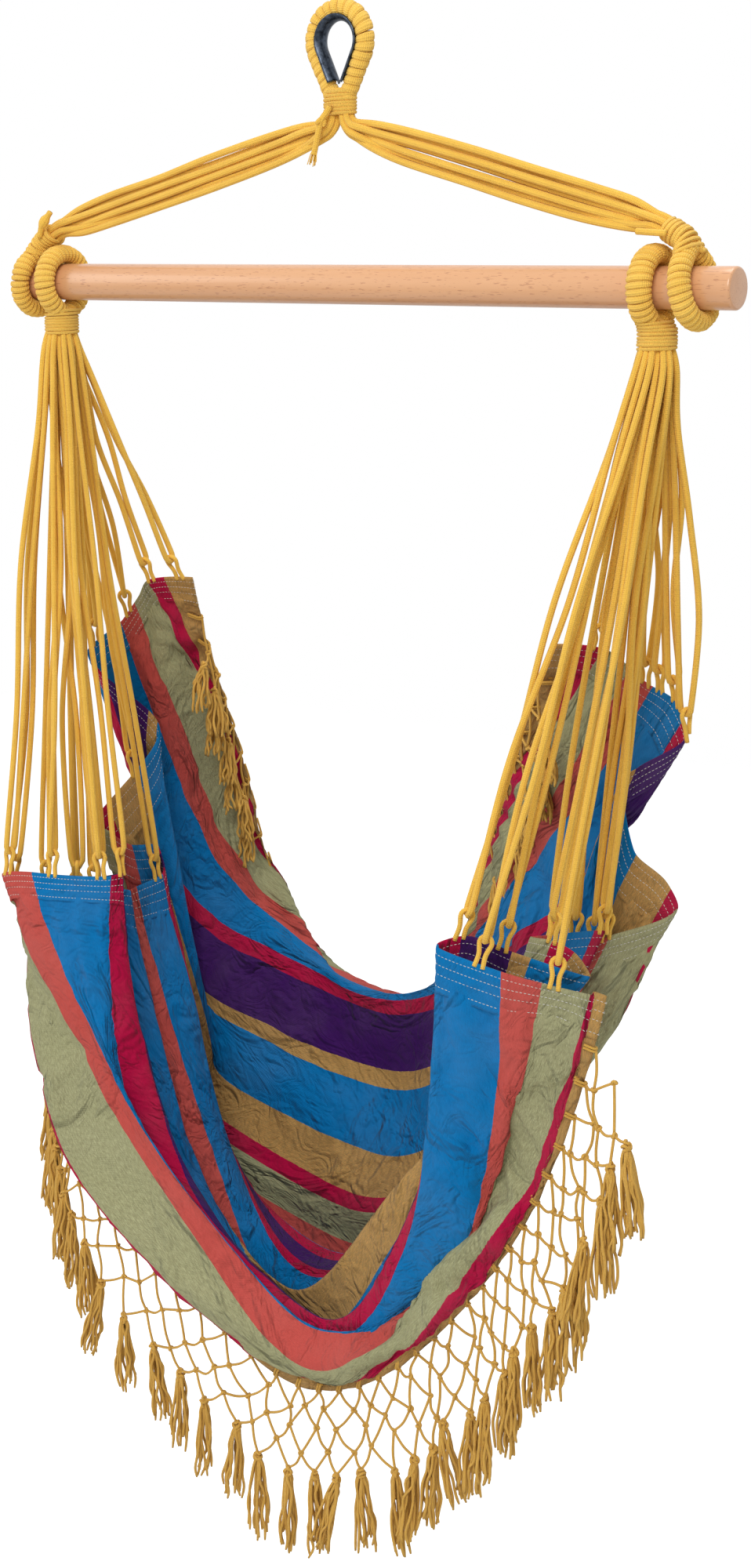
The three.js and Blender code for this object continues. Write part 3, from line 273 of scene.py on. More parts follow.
# Stripes from the back edge to the front edge: colour and where each ends, in metres
stripe_order = "MCOKBCPMBMCOKBCPCBKOCMBMPCBKOCM"
stripe_ends = [
    0.032, 0.066, 0.142, 0.206, 0.290, 0.324, 0.412, 0.438, 0.528, 0.584, 0.618, 0.698, 0.758,
    0.846, 0.880, 0.940, 0.974, 1.062, 1.122, 1.202, 1.236, 1.292, 1.382, 1.408, 1.496, 1.530,
    1.618, 1.668, 1.738, 1.768, 1.800,
]


# Numbers and curves
def unit(v):
    v = np.asarray(v, float)
    return v / np.maximum(np.linalg.norm(v, axis=-1, keepdims=True), 1e-12)


def circle(count):
    return 2 * np.pi * np.arange(count) / count


def run_along(points):
    """The distance of each point from the first one, along the line of points."""
    return np.concatenate([[0], np.cumsum(np.linalg.norm(np.diff(points, axis=0), axis=1))])


def smooth_curve(places, values):
    """A curve through the points that keeps to their rises and falls; values may be rows."""
    x = np.asarray(places, float)
    y = np.asarray(values, float)
    h = np.diff(x).reshape((-1,) + (1,) * (y.ndim - 1))
    d = np.diff(y, axis=0) / h
    slopes = np.zeros_like(y)
    w1 = 2 * h[1:] + h[:-1]
    w2 = h[1:] + 2 * h[:-1]
    rising = d[:-1] * d[1:] > 0
    with np.errstate(divide="ignore", invalid="ignore"):
        slopes[1:-1] = np.where(rising, (w1 + w2) / (w1 / d[:-1] + w2 / d[1:]), 0.0)

    def end(h0, h1, d0, d1):
        slope = ((2 * h0 + h1) * d0 - h0 * d1) / (h0 + h1)
        slope = np.where(np.sign(slope) != np.sign(d0), 0.0, slope)
        return np.where((np.sign(d0) != np.sign(d1)) & (np.abs(slope) > np.abs(3 * d0)), 3 * d0, slope)

    slopes[0] = end(h[0], h[1], d[0], d[1])
    slopes[-1] = end(h[-1], h[-2], d[-1], d[-2])

    def at(place):
        place = np.asarray(place, float)
        k = np.clip(np.searchsorted(x, place, side="right") - 1, 0, len(x) - 2)
        hk = (x[k + 1] - x[k]).reshape(place.shape + (1,) * (y.ndim - 1))
        u = ((place - x[k]).reshape(hk.shape)) / hk
        v = 1 - u
        return (
            v * v * (1 + 2 * u) * y[k] + u * u * (1 + 2 * v) * y[k + 1]
            + hk * u * v * (v * slopes[k] - u * slopes[k + 1])
        )

    return at


def through(points, count):
    """count points of a Catmull-Rom curve through the points, evenly spaced."""
    p = np.asarray(points, float)
    if len(p) == 2:
        p = np.array([p[0], (p[0] + p[1]) / 2, p[1]])
    q = np.vstack([2 * p[0] - p[1], p, 2 * p[-1] - p[-2]])
    t = np.concatenate([[0], np.cumsum(np.linalg.norm(np.diff(q, axis=0), axis=1) ** 0.5)])

    def blend(i, j, one, other):
        return (t[j] - u) / (t[j] - t[i]) * one + (u - t[i]) / (t[j] - t[i]) * other

    fine = []
    for k in range(1, len(q) - 2):
        u = np.linspace(t[k], t[k + 1], 12, endpoint=k == len(q) - 3)[:, None]
        low = blend(k - 1, k, q[k - 1], q[k])
        middle = blend(k, k + 1, q[k], q[k + 1])
        high = blend(k + 1, k + 2, q[k + 1], q[k + 2])
        fine.append(blend(k, k + 1, blend(k - 1, k + 1, low, middle), blend(k, k + 2, middle, high)))
    fine = np.vstack(fine)
    run = run_along(fine)
    want = np.linspace(0, run[-1], count)
    return np.stack([np.interp(want, run, fine[:, axis]) for axis in range(3)], axis=1)


def finer(values, factor):
    """A grid of points or a row of places with more points between, on smooth curves."""
    values = np.asarray(values, float)
    count = len(values)
    fine = np.linspace(0, count - 1, (count - 1) * factor + 1)
    k = np.clip(fine.astype(int), 0, count - 2)
    u = (fine - k).reshape((-1,) + (1,) * (values.ndim - 1))
    p = np.concatenate([2 * values[:1] - values[1:2], values, 2 * values[-1:] - values[-2:-1]])
    a, b, c, d = p[k], p[k + 1], p[k + 2], p[k + 3]
    square, cube = 2 * a - 5 * b + 4 * c - d, 3 * b - a - 3 * c + d
    return 0.5 * (2 * b + (c - a) * u + square * u ** 2 + cube * u ** 3)


# Meshes
def new_piece(name, mesh, body, replaced=None):
    """A piece of the scene on a body, in place of the frame's node that is named."""
    piece = bpy.data.objects.new(name, mesh)
    bpy.context.collection.objects.link(piece)
    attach(piece, body)
    if replaced:
        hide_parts(replaced)
    return piece


class Solid:
    """Gathers the faces of one piece, with a UV place in metres for each corner."""

    def __init__(self):
        self.points = []
        self.faces = []
        self.places = []
        self.count = 0

    def add(self, points, faces, places):
        """Adds a closed shape, with its faces turned to look out of it."""
        quads = np.array([face for face in faces if len(face) == 4])
        a, b, c, d = (points[quads[:, k]] - points.mean(axis=0) for k in range(4))
        if (a * (np.cross(b, c) + np.cross(c, d))).sum() < 0:
            faces = [face[::-1] for face in faces]
            places = [place[::-1] for place in places]
        self.points.append(points)
        self.faces.extend([[i + self.count for i in face] for face in faces])
        self.places.extend(places)
        self.count += len(points)

    def piece(self, name, material, body, slot, replaced=None):
        mesh = bpy.data.meshes.new(name)
        mesh.from_pydata(np.vstack(self.points).tolist(), [], self.faces)
        layer = mesh.uv_layers.new(name="length")
        layer.data.foreach_set("uv", np.array([uv for face in self.places for uv in face], float).ravel())
        mesh.polygons.foreach_set("use_smooth", [True] * len(mesh.polygons))
        mesh.materials.append(material)
        return new_piece(name, mesh, body, replaced)


def tube_faces(rows, around, runs):
    """Faces and UV places of a tube; around holds the two places across each of its sides."""
    sides = len(around)
    faces, places = [], []
    for k in range(rows - 1):
        for i, (u0, u1) in enumerate(around):
            j = (i + 1) % sides
            faces.append([k * sides + i, k * sides + j, (k + 1) * sides + j, (k + 1) * sides + i])
            places.append([(u0, runs[k]), (u1, runs[k]), (u1, runs[k + 1]), (u0, runs[k + 1])])
    return faces, places


def add_rings(solid, rings, runs, girth):
    """Joins closed rings of points into a tube with flat ends."""
    rings = np.asarray(rings, float)
    count, sides = rings.shape[:2]
    around = [(girth * i / sides, girth * (i + 1) / sides) for i in range(sides)]
    faces, places = tube_faces(count, around, runs)
    first = list(range(sides))[::-1]
    last = list(range((count - 1) * sides, count * sides))
    for cap, run in ((first, runs[0]), (last, runs[-1])):
        faces.append(cap)
        places.append([(u, run) for u, _ in around])
    solid.add(rings.reshape(-1, 3), faces, places)


def sheet_solid(middle, half, u, v):
    """A closed sheet with its faces half to either side of a grid of points; u and v are UV places."""
    ring = np.concatenate([middle + half, (middle - half)[:, ::-1]], axis=1)
    rows, sides = ring.shape[:2]
    around = [*u, *u[::-1]]
    faces, places = tube_faces(rows, [(around[j], around[(j + 1) % sides]) for j in range(sides)], v)
    for i, turn in ((0, 1), (rows - 1, -1)):
        first = i * sides
        for j in range(sides // 2 - 1):
            face = [first + j, first + sides - 1 - j, first + sides - 2 - j, first + j + 1]
            faces.append(face[::turn])
            places.append([(u[j], v[i])] * 4)
    solid = Solid()
    solid.add(ring.reshape(-1, 3), faces, places)
    return solid


def oval_rings(middle, one, other, half_one, half_other, sides, soft=1.0):
    """Rings of points round middles, out to a half along either way; soft below 1 squares them."""
    rings = middle[:, None]
    angle = circle(sides)
    for way, half, share in ((one, half_one, np.cos(angle)), (other, half_other, np.sin(angle))):
        way = np.broadcast_to(way, middle.shape)[:, None]
        half = np.broadcast_to(half, len(middle))[:, None, None]
        rings = rings + way * half * (np.sign(share) * np.abs(share) ** soft)[None, :, None]
    return rings


def add_cord(solid, path, diameter, sides=10, widths=1.0):
    """A round cord along a path; widths are its thickness there as shares of its diameter."""
    path = np.asarray(path, float)
    along = unit(np.gradient(path, axis=0))
    level = Y if abs(along[0] @ Y) < 0.7 else X
    levels = []
    for way in along:
        level = unit(level - way * (way @ level))
        levels.append(level)
    half = np.asarray(widths) * diameter / 2
    rings = oval_rings(path, np.array(levels), np.cross(along, levels), half, half, sides)
    add_rings(solid, rings, run_along(path), np.pi * diameter)


# Loops of wound cord: round, and drawn straight towards their throat from both sides
class DropLoop:
    def __init__(self, centre, radius, across, towards, open_angle, leg_share):
        self.centre = np.asarray(centre, float)
        self.radius = radius
        self.across = np.asarray(across, float)
        self.towards = np.asarray(towards, float)
        self.open_angle = open_angle
        self.leg = radius * math.tan(open_angle) * leg_share
        self.arc = radius * 2 * (math.pi - open_angle)
        self.total = self.arc + 2 * self.leg
        self.normal = np.cross(self.across, self.towards)

    def at(self, distance):
        """Points, ways out, ways along and whether on the arc, at distances from one end."""
        on_arc = np.clip(distance - self.leg, 0, self.arc)
        angle = (self.open_angle + on_arc / self.radius)[:, None]
        out = self.across * np.sin(angle) + self.towards * np.cos(angle)
        along = self.across * np.cos(angle) - self.towards * np.sin(angle)
        straight = (distance - self.leg - on_arc)[:, None]
        return self.centre + out * self.radius + along * straight, out, along, straight[:, 0] == 0


def whipping(solid, loop, turns, seed, neck, wide=1.0, aside=0.0, soft=wound_softness):
    """One cord wound round a loop, each turn as wide as the room it has.

    Along the straight ends of the loop the winding draws in to the share neck of its size.
    The section is wide times as wide as high, and moved aside by so many metres.
    """
    steps = turns * turn_steps
    k = np.arange(steps + 1)
    chance = np.random.default_rng(seed)
    lean = np.interp(k / turn_steps, np.arange(turns + 1), chance.normal(0, turn_lean, turns + 1))
    swell = np.interp(k / turn_steps, np.arange(turns + 1), chance.normal(1, turn_swell, turns + 1))
    distance = np.clip(loop.total * (k + lean * turn_steps) / steps, 0, loop.total)
    point, out, along, curved = loop.at(distance)
    angle = 2 * np.pi * k / turn_steps
    outward = unit(out * np.cos(angle)[:, None] * wide + loop.normal * np.sin(angle)[:, None])
    from_end = np.minimum(distance, loop.total - distance)
    draw = neck + (1 - neck) * np.clip(from_end / max(loop.leg, 1e-6), 0, 1)
    wind_radius = (whipped_radius - whipping_height / 2) * draw
    reach = (wind_radius + (swell - 1) * swell_reach)[:, None]
    middle = (
        point
        + out * np.cos(angle)[:, None] * reach
        + loop.normal * (np.sin(angle)[:, None] * reach * wide + aside)
    )
    room = np.where(curved, 1 + wind_radius * np.cos(angle) / loop.radius, 1)
    width = turn_overlap * loop.total / turns * room * swell
    height = whipping_height * (0.6 + 0.4 * draw)
    rings = oval_rings(middle, outward, along, height / 2, width / 2, turn_sides, soft)
    add_rings(solid, rings, run_along(middle), math.pi * whipping_height)


def throat_stations(centre, axis, half_width, half_depth, height, ring_end):
    """Rows of middle, axis, half width and half depth along a throat, from its ring to its far end.

    axis points away from the ring; ring_end holds the rows that join the throat to its ring.
    """
    centre, axis = np.asarray(centre, float), np.asarray(axis, float)
    rows = [(centre + axis * height * share, axis, half_width, half_depth) for share in (-0.5, 0, 0.5)]
    return [*ring_end, *rows]


def along_throat(stations, shares):
    """Middles, axes, half widths, half depths and wide ways at shares of a throat's length."""
    run = run_along([row[0] for row in stations])

    def at(column):
        values = np.array([np.atleast_1d(row[column]) for row in stations], float)
        return smooth_curve(run / run[-1], values)(shares)

    axis = unit(at(1))
    return at(0), axis, at(2)[:, 0], at(3)[:, 0], unit(np.cross(axis, -Y))


def throat_winding(solid, stations, cord, turns, seed):
    """Turns of cord round an oval, laid tight from the ring to the throat's far end."""
    steps = turns * throat_turn_steps
    turn = np.arange(steps + 1) / throat_turn_steps
    pitch = run_along([row[0] for row in stations])[-1] / (turns + 1)
    centre, axis, half_width, half_depth, wide_way = along_throat(stations, (0.5 + turn) / (turns + 1))
    angle = 2 * np.pi * turn
    wide, deep = half_width - cord / 2, half_depth - cord / 2
    chance = np.random.default_rng(seed)
    wave = np.interp(turn, np.arange(turns + 1), chance.normal(0, throat_wave, turns + 1))
    swell = np.interp(turn, np.linspace(0, turns, 3 * turns), chance.normal(1, throat_swell, 3 * turns))
    outward = unit(wide_way * (deep * np.cos(angle))[:, None] + Y * (wide * np.sin(angle))[:, None])
    middle = (
        centre
        + wide_way * (wide * np.cos(angle))[:, None]
        + Y * (deep * np.sin(angle))[:, None]
        + axis * wave[:, None]
    )
    height, width = cord * swell, throat_overlap * pitch * swell
    rings = oval_rings(middle, outward, axis, height / 2, width / 2, turn_sides, wound_softness)
    add_rings(solid, rings, run_along(middle), math.pi * cord)


def throat_plug(solid, stations, cord):
    """What fills a throat inside its winding."""
    shares = np.linspace(*plug_reach_shares, 24)
    centre, _, half_width, half_depth, wide_way = along_throat(stations, shares)
    inset = cord * 0.7
    rings = oval_rings(centre, wide_way, Y, half_width - inset, half_depth - inset, 24)
    add_rings(solid, rings, shares * 0.03, 0.1)


def throat(name, stations, cord, turns, seed, body, replaced):
    solid = Solid()
    throat_winding(solid, stations, cord, turns, seed)
    throat_plug(solid, stations, cord)
    solid.piece(name, wound_cotton, body, "golden_cord", replaced)


# Cloth
guide_curves = [smooth_curve([r[0] for r in rows], [r[1:] for r in rows]) for rows in guide_shares]


def cloth_points(s, t):
    """Points of the cloth: a row for each place t, back to front, with the places s, hem to hem."""
    s, t = np.atleast_1d(s), np.atleast_1d(t)
    lines = np.stack([curve(t) for curve in guide_curves])
    shares = smooth_curve([0, 0.25, 0.5, 0.75, 1], lines)(s)
    shares = np.swapaxes(shares, 0, 1)
    scale = np.array([bar_length, seat_depth, -seat_drop])
    return shares * scale + np.array([0, 0, -bar_drop])


def cloth_frames(s, t):
    """Points of the cloth at matching places s and t, the ways to its front edge and out of it."""
    s, t = np.broadcast_arrays(np.atleast_1d(s).astype(float), np.atleast_1d(t).astype(float))
    step = 0.004

    def at(a, b):
        a, b = np.clip(a, 0, 1), np.clip(b, 0, 1)
        return np.array([cloth_points(x, y)[0, 0] for x, y in zip(a, b)])

    across = unit(at(s + step, t) - at(s - step, t))
    along = unit(at(s, t + step) - at(s, t - step))
    return at(s, t), along, unit(np.cross(across, along))


# Shader maths
class Nodes:
    """A node tree, made one node at a time."""

    def __init__(self, tree):
        self.tree = tree

    def node(self, kind, inputs=(), output=0, **settings):
        node = self.tree.nodes.new(kind)
        for key, value in settings.items():
            setattr(node, key, value)
        for key, value in dict(inputs).items():
            self.put(node.inputs[key], value)
        return Value(self, node.outputs[output])

    def put(self, socket, value):
        if isinstance(value, Value):
            self.tree.links.new(value.socket, socket)
        else:
            socket.default_value = value

    def math(self, operation, *values):
        return self.node("ShaderNodeMath", enumerate(values), operation=operation)


class Value:
    """An output of a node that takes part in sums."""

    def __init__(self, nodes, socket):
        self.nodes = nodes
        self.socket = socket

    def beside(self, output):
        """Another output of the same node."""
        return Value(self.nodes, self.socket.node.outputs[output])

    def clamped(self):
        return self.nodes.math("MINIMUM", self.nodes.math("MAXIMUM", self, 0.0), 1.0)

    def __add__(self, other):
        return self.nodes.math("ADD", self, other)

    def __sub__(self, other):
        return self.nodes.math("SUBTRACT", self, other)

    def __rsub__(self, other):
        return self.nodes.math("SUBTRACT", other, self)

    def __mul__(self, other):
        return self.nodes.math("MULTIPLY", self, other)

    def __abs__(self):
        return self.nodes.math("ABSOLUTE", self)

    __radd__ = __add__
    __rmul__ = __mul__


class Shader(Nodes):
    """The nodes of a new material."""

    def __init__(self, name):
        self.material = bpy.data.materials.new(name)
        self.material.use_nodes = True
        super().__init__(self.material.node_tree)
        self.surface = self.tree.nodes["Principled BSDF"]

    def uv_parts(self):
        """The UV place in metres, how far across the piece and how far along it."""
        place = self.node("ShaderNodeUVMap", uv_map="length")
        across = self.node("ShaderNodeSeparateXYZ", {0: place})
        return place, across, across.beside(1)

    def spot(self):
        return self.node("ShaderNodeTexCoord", output="Object")

    def noise(self, place, scale, detail=2.0, roughness=0.5, distortion=0.0):
        return self.node("ShaderNodeTexNoise", {
            "Vector": place, "Scale": scale, "Detail": detail, "Roughness": roughness,
            "Distortion": distortion,
        })

    def stretched(self, place, scale):
        return self.node("ShaderNodeMapping", {"Vector": place, "Scale": scale})

    def mix(self, factor, one, other, blend="MIX"):
        ends = {0: factor, 6: one, 7: other}
        return self.node("ShaderNodeMix", ends, output=2, data_type="RGBA", blend_type=blend)

    def steps(self, place, stops):
        """A ramp that changes its colour at once at each stop."""
        colour = self.node("ShaderNodeValToRGB", {0: place})
        ramp = colour.socket.node.color_ramp
        ramp.interpolation = "CONSTANT"
        while len(ramp.elements) < len(stops):
            ramp.elements.new(0.5)
        for element, (start, _) in zip(ramp.elements, stops):
            element.position = start
        for element, (_, shade) in zip(ramp.elements, stops):
            element.color = (*shade, 1)
        return colour

    def bump(self, height, strength, distance, below=None):
        inputs = {"Strength": strength, "Distance": distance, "Height": height}
        if below is not None:
            inputs["Normal"] = below
        return self.node("ShaderNodeBump", inputs)

    def set(self, **values):
        for key, value in values.items():
            self.put(self.surface.inputs[key.replace("_", " ")], value)


def linear(colour):
    """A colour as seen on screen, as light."""
    return tuple(c / 12.92 if c <= 0.04045 else ((c + 0.055) / 1.055) ** 2.4 for c in colour)


def rgba(colour):
    return (*linear(colour), 1)


stripe_colours = {
    "M": (0.84, 0.63, 0.35),
    "C": (0.73, 0.04, 0.26),
    "O": (0.72, 0.72, 0.55),
    "K": (0.79, 0.33, 0.30),
    "B": (0.00, 0.47, 0.73),
    "P": (0.26, 0.09, 0.39),
}


def cotton_cord(name, light, deep, stitch, relief):
    """Soft knitted cotton: fine slanting stitches along the cord with painted shade in their grooves, a
    little fuzz and dirt.
    """
    sh = Shader(name)
    _, across, along = sh.uv_parts()
    spot = sh.spot()
    slant = sh.math("SINE", (along + across * 0.8) * (math.tau / stitch))
    counter = sh.math("SINE", (along - across * 0.8) * (math.tau / stitch))
    knit = slant * counter
    fuzz = sh.noise(spot, 900.0, 3.0, 0.7)
    blotch = sh.noise(spot, 28.0, 4.0, 0.55)
    # The knit term darkens the colour in the grooves between the stitches: painted shade. Blotch and fuzz are
    # the cord's own uneven tone.
    shade = blotch * 0.9 + fuzz * 0.55 + knit * 0.10 - 0.04
    colour = sh.mix(shade.clamped(), rgba(deep), rgba(light))
    knitted = sh.bump(knit, relief, 0.0008)
    sh.set(Base_Color=colour, Roughness=0.93, Normal=sh.bump(fuzz, 0.45, 0.0007, knitted))
    sh.set(Sheen_Weight=0.12, Sheen_Roughness=0.6, Specular_IOR_Level=0.15)
    return sh.material


def striped_cotton(name):
    """Ribbed cotton: stripes along the cloth, a fine weave, heathered olive and soft wear."""
    sh = Shader(name)
    place, along, across = sh.uv_parts()
    ragged = sh.noise(place, 260.0, 1.0)
    edge = (across + (ragged - 0.5) * 0.0016) * (1 / cloth_width)
    starts = [start / cloth_width for start in [0.0, *stripe_ends]]
    ramp = sh.steps(edge, [(start, linear(stripe_colours[c])) for start, c in zip(starts, stripe_order)])
    heather = sh.steps(edge, [(start, (float(c in "OM"),) * 3) for start, c in zip(starts, stripe_order)])
    slub = sh.noise(sh.stretched(place, (170.0, 900.0, 1.0)), 1.0, 2.0, 0.6)
    twill = sh.math("SINE", (along + across) * (math.tau / 0.0028))
    speckle = sh.noise(place, 1100.0)
    blotch = sh.noise(sh.spot(), 9.0, 5.0, 0.6)
    darker = sh.mix(1.0, ramp, (0.62, 0.62, 0.62, 1), "MULTIPLY")
    mottle = ((slub - 0.34) * 2.2 + (speckle - 0.5) * 1.2).clamped()
    woven = sh.mix(mottle * 0.45 + 0.55, darker, ramp)
    pale = sh.mix(heather * ((1 - mottle) * 0.55), woven, rgba((0.46, 0.44, 0.30)))
    worn = sh.mix((blotch - 0.42) * 0.14, pale, rgba((0.80, 0.76, 0.70)))
    crease = sh.noise(place, 9.0, 3.0, 0.55, 1.4)
    pleat = abs(sh.noise(place, 24.0, 2.0, 0.5, 1.8) - 0.5)
    folds = sh.bump(crease * 0.7 + abs(crease - 0.5) * 1.2 + pleat * 0.3, 1.0, 0.026)
    ribbed = sh.bump(twill, 0.20, 0.0006, folds)
    sh.set(Base_Color=worn, Roughness=0.90, Normal=sh.bump(slub * 0.6 + speckle * 0.6, 0.35, 0.0008, ribbed))
    sh.set(Sheen_Weight=0.04, Sheen_Roughness=0.5, Specular_IOR_Level=0.12)
    return sh.material


def turned_beech(name):
    """Lacquered beech: long pale grain with short dark flecks along the bar."""
    sh = Shader(name)
    spot = sh.spot()
    grain = sh.noise(sh.stretched(spot, (1.6, 34.0, 34.0)), 1.0, 6.0, 0.6)
    fleck = sh.noise(sh.stretched(spot, (90.0, 700.0, 700.0)), 1.0, 1.0)
    flecks = sh.math("GREATER_THAN", fleck, 0.66)
    wood = sh.mix(grain * 1.1, rgba((0.885, 0.68, 0.50)), rgba((0.80, 0.565, 0.385)))
    marked = sh.mix(flecks * 0.45, wood, rgba((0.62, 0.38, 0.24)))
    sh.set(Base_Color=marked, Roughness=grain * 0.10 + 0.30, Normal=sh.bump(fleck, 0.06, 0.0004))
    sh.set(Coat_Weight=0.55, Coat_Roughness=0.14)
    return sh.material


def dull_steel(name):
    """Galvanised sheet with a cloudy bloom, its colour kept dark as painted dark reflections."""
    sh = Shader(name)
    bloom = sh.noise(sh.spot(), 160.0, 4.0, 0.6)
    # The dark end of this mix paints the dark reflections of the steel. The bloom between the two colours is
    # the sheet's own uneven tone.
    colour = sh.mix((bloom - 0.30) * 1.6, rgba((0.10, 0.12, 0.15)), rgba((0.42, 0.46, 0.52)))
    sh.set(Base_Color=colour, Roughness=bloom * 0.25 + 0.24, Metallic=1.0)
    sh.set(Normal=sh.bump(bloom, 0.15, 0.0004))
    return sh.material


def sewing_thread(name, colour):
    """Twisted thread, with painted shade between its plies."""
    sh = Shader(name)
    twist = sh.noise(sh.spot(), 1500.0)
    # The colour darkens where the twist bump is low: painted shade between the plies.
    shaded = sh.mix(twist, rgba(tuple(0.72 * c for c in colour)), rgba(colour))
    sh.set(Base_Color=shaded, Roughness=0.75, Normal=sh.bump(twist, 0.3, 0.0003), Sheen_Weight=0.15)
    return sh.material


cord_cotton = cotton_cord("golden_cotton_cord", (0.98, 0.785, 0.33), (0.885, 0.68, 0.25), 0.0042, 0.55)
wound_cotton = cotton_cord("golden_cotton_whipping", (1.0, 0.815, 0.375), (0.91, 0.70, 0.27), 0.0034, 0.65)
fringe_cotton = cotton_cord("mustard_cotton_thread", (0.97, 0.765, 0.35), (0.85, 0.63, 0.25), 0.0026, 0.75)
stripe_cotton = striped_cotton("striped_cotton")
bar_beech = turned_beech("turned_beech")
thimble_steel = dull_steel("galvanised_steel")
white_thread = sewing_thread("white_sewing_thread", (0.93, 0.92, 0.88))


# Spreader bar
def turned_bar():
    """The round bar with softened ends, turned from one profile."""
    edge = [
        (bar_arris - bar_arris * math.cos(a), bar_radius - bar_arris + bar_arris * math.sin(a))
        for a in np.linspace(0, math.pi / 2, 6)
    ]
    profile = [(0.0, 0.0001), *edge]
    inner = [(x, bar_radius) for x in np.linspace(0.02, bar_length - 0.02, 25)]
    profile = profile + inner + [(bar_length - x, r) for x, r in profile[::-1]]
    middle = np.array([(x - bar_length / 2 + bar_shift, 0, -bar_drop) for x, _ in profile])
    runs, radius = zip(*profile)
    solid = Solid()
    add_rings(solid, oval_rings(middle, Y, Z, radius, radius, 72), runs, bar_diameter * math.pi)
    solid.piece("spreader_bar_turned", bar_beech, "bar", "beech", "spreader_bar")


# Hanging eye
eye_shape = ((0, 0, -thimble_inner_radius), eye_radius, X, -Z, eye_open_angle)


def eye_thimble():
    """A channel of sheet steel pressed round the inside of the eye."""
    loop = DropLoop(*eye_shape, thimble_leg_share)
    runs = np.linspace(0, loop.total, 120)
    point, out, _, _ = loop.at(runs)
    rings = []
    for p, o in zip(point, out):
        ring = []
        for radius, sign in ((thimble_seat_radius, 1), (thimble_seat_radius + thimble_wall, -1)):
            for share in np.linspace(-1, 1, 13):
                a = sign * thimble_reach * share
                ring.append(p - o * radius * math.cos(a) + loop.normal * radius * math.sin(a))
        rings.append(ring)
    solid = Solid()
    add_rings(solid, rings, runs, 0.05)
    solid.piece("eye_thimble_pressed", thimble_steel, "bridle", "thimble_steel", "eye_thimble")


def hanging_eye():
    """The eye's winding over its core of rope, and the winding of its throat."""
    loop = DropLoop(*eye_shape, eye_leg_share)
    wound = Solid()
    whipping(wound, loop, eye_turns, 11, eye_neck_share, soft=0.68)
    wound.piece("eye_whipping_cord", wound_cotton, "bridle", "golden_cord", "eye_whipping")
    runs = np.linspace(0, loop.total, 90)
    point, out, _, _ = loop.at(runs)
    core = Solid()
    add_rings(core, oval_rings(point, out, loop.normal, core_cord / 2, core_cord / 2, 12), runs, 0.026)
    core.piece("eye_core_rope", wound_cotton, "bridle", "golden_cord", "eye_core")
    eye_thimble()
    join_level = -eye_throat_middle + eye_throat_height / 2 + eye_join_height
    join = [((0, 0, join_level), -Z, eye_join_half_width, eye_join_half_depth)]
    stations = throat_stations(
        (0, 0, -eye_throat_middle), -Z, throat_half_width, eye_throat_half_depth, eye_throat_height, join,
    )
    throat("eye_throat_whipping", stations, throat_cord, throat_turns + 2, 12, "bridle", "eye_throat_band")


def bridle_throat(sign, ring_x):
    """The middle and the axis of the throat that a leg of the bridle is drawn into."""
    centre = np.array([ring_x - sign * bridle_throat_inset, 0, -bar_drop + bridle_throat_rise])
    axis = Z * math.cos(bridle_throat_lean) - X * sign * math.sin(bridle_throat_lean)
    return centre, axis


def bar_ring(stem, side, towards, centre, axis, cord, half_width, half_depth, body, seed):
    """A whipped ring round the bar with its throat, in place of the frame's."""
    middle = np.array([ring_places[f"{stem}_{side}"] * bar_length, 0, -bar_drop])
    loop = DropLoop(middle, ring_radius, -Y, towards, ring_open_angle, ring_leg_share)
    wide = ring_widths[stem]
    aside = X * math.copysign((wide - 1) * whipped_radius, middle[0]) * (1 if stem == "bridle" else -1)
    wound = Solid()
    whipping(wound, loop, ring_turns, seed, ring_neck_share, wide, aside @ loop.normal)
    wound.piece(
        f"{stem}_ring_winding_{side}", wound_cotton, body, "golden_cord", f"{stem}_ring_whipping_{side}",
    )
    core = Solid()
    add_cord(core, loop.at(np.linspace(0, loop.total, 72))[0], core_cord, 12)
    core.piece(f"{stem}_ring_rope_{side}", wound_cotton, body, "golden_cord", f"{stem}_ring_core_{side}")
    foot = centre - axis * ring_throat_height / 2
    start = middle + aside + towards * ring_throat_start
    start_width = whipped_radius * wide + ring_join_margin
    cone_depth = (ring_cone_depth + half_depth) / 2
    join = [
        (start, towards, start_width, ring_join_depth),
        ((start + foot) / 2, unit(towards + axis), (start_width + half_width) / 2, cone_depth),
    ]
    stations = throat_stations(centre, axis, half_width, half_depth, ring_throat_height, join)
    throat(
        f"{stem}_throat_whipping_{side}", stations, cord, throat_turns + cone_turns, seed + 1, body,
        f"{stem}_throat_band_{side}",
    )


def bar_rings():
    for side, sign in (("left", -1), ("right", 1)):
        leaning = Z * math.cos(bridle_ring_lean) - X * sign * math.sin(bridle_ring_lean)
        centre, axis = bridle_throat(sign, ring_places[f"bridle_{side}"] * bar_length)
        bar_ring(
            "bridle", side, leaning, centre, axis, bridle_throat_cord, bridle_throat_half_width,
            bridle_throat_half_depth, "bridle", 21 + sign,
        )
        below = np.array([ring_places[f"seat_{side}"] * bar_length, 0, -bar_drop - seat_throat_middle])
        bar_ring(
            "seat", side, -Z, below, -Z, throat_cord, throat_half_width, throat_half_width, "seat", 26 + sign,
        )


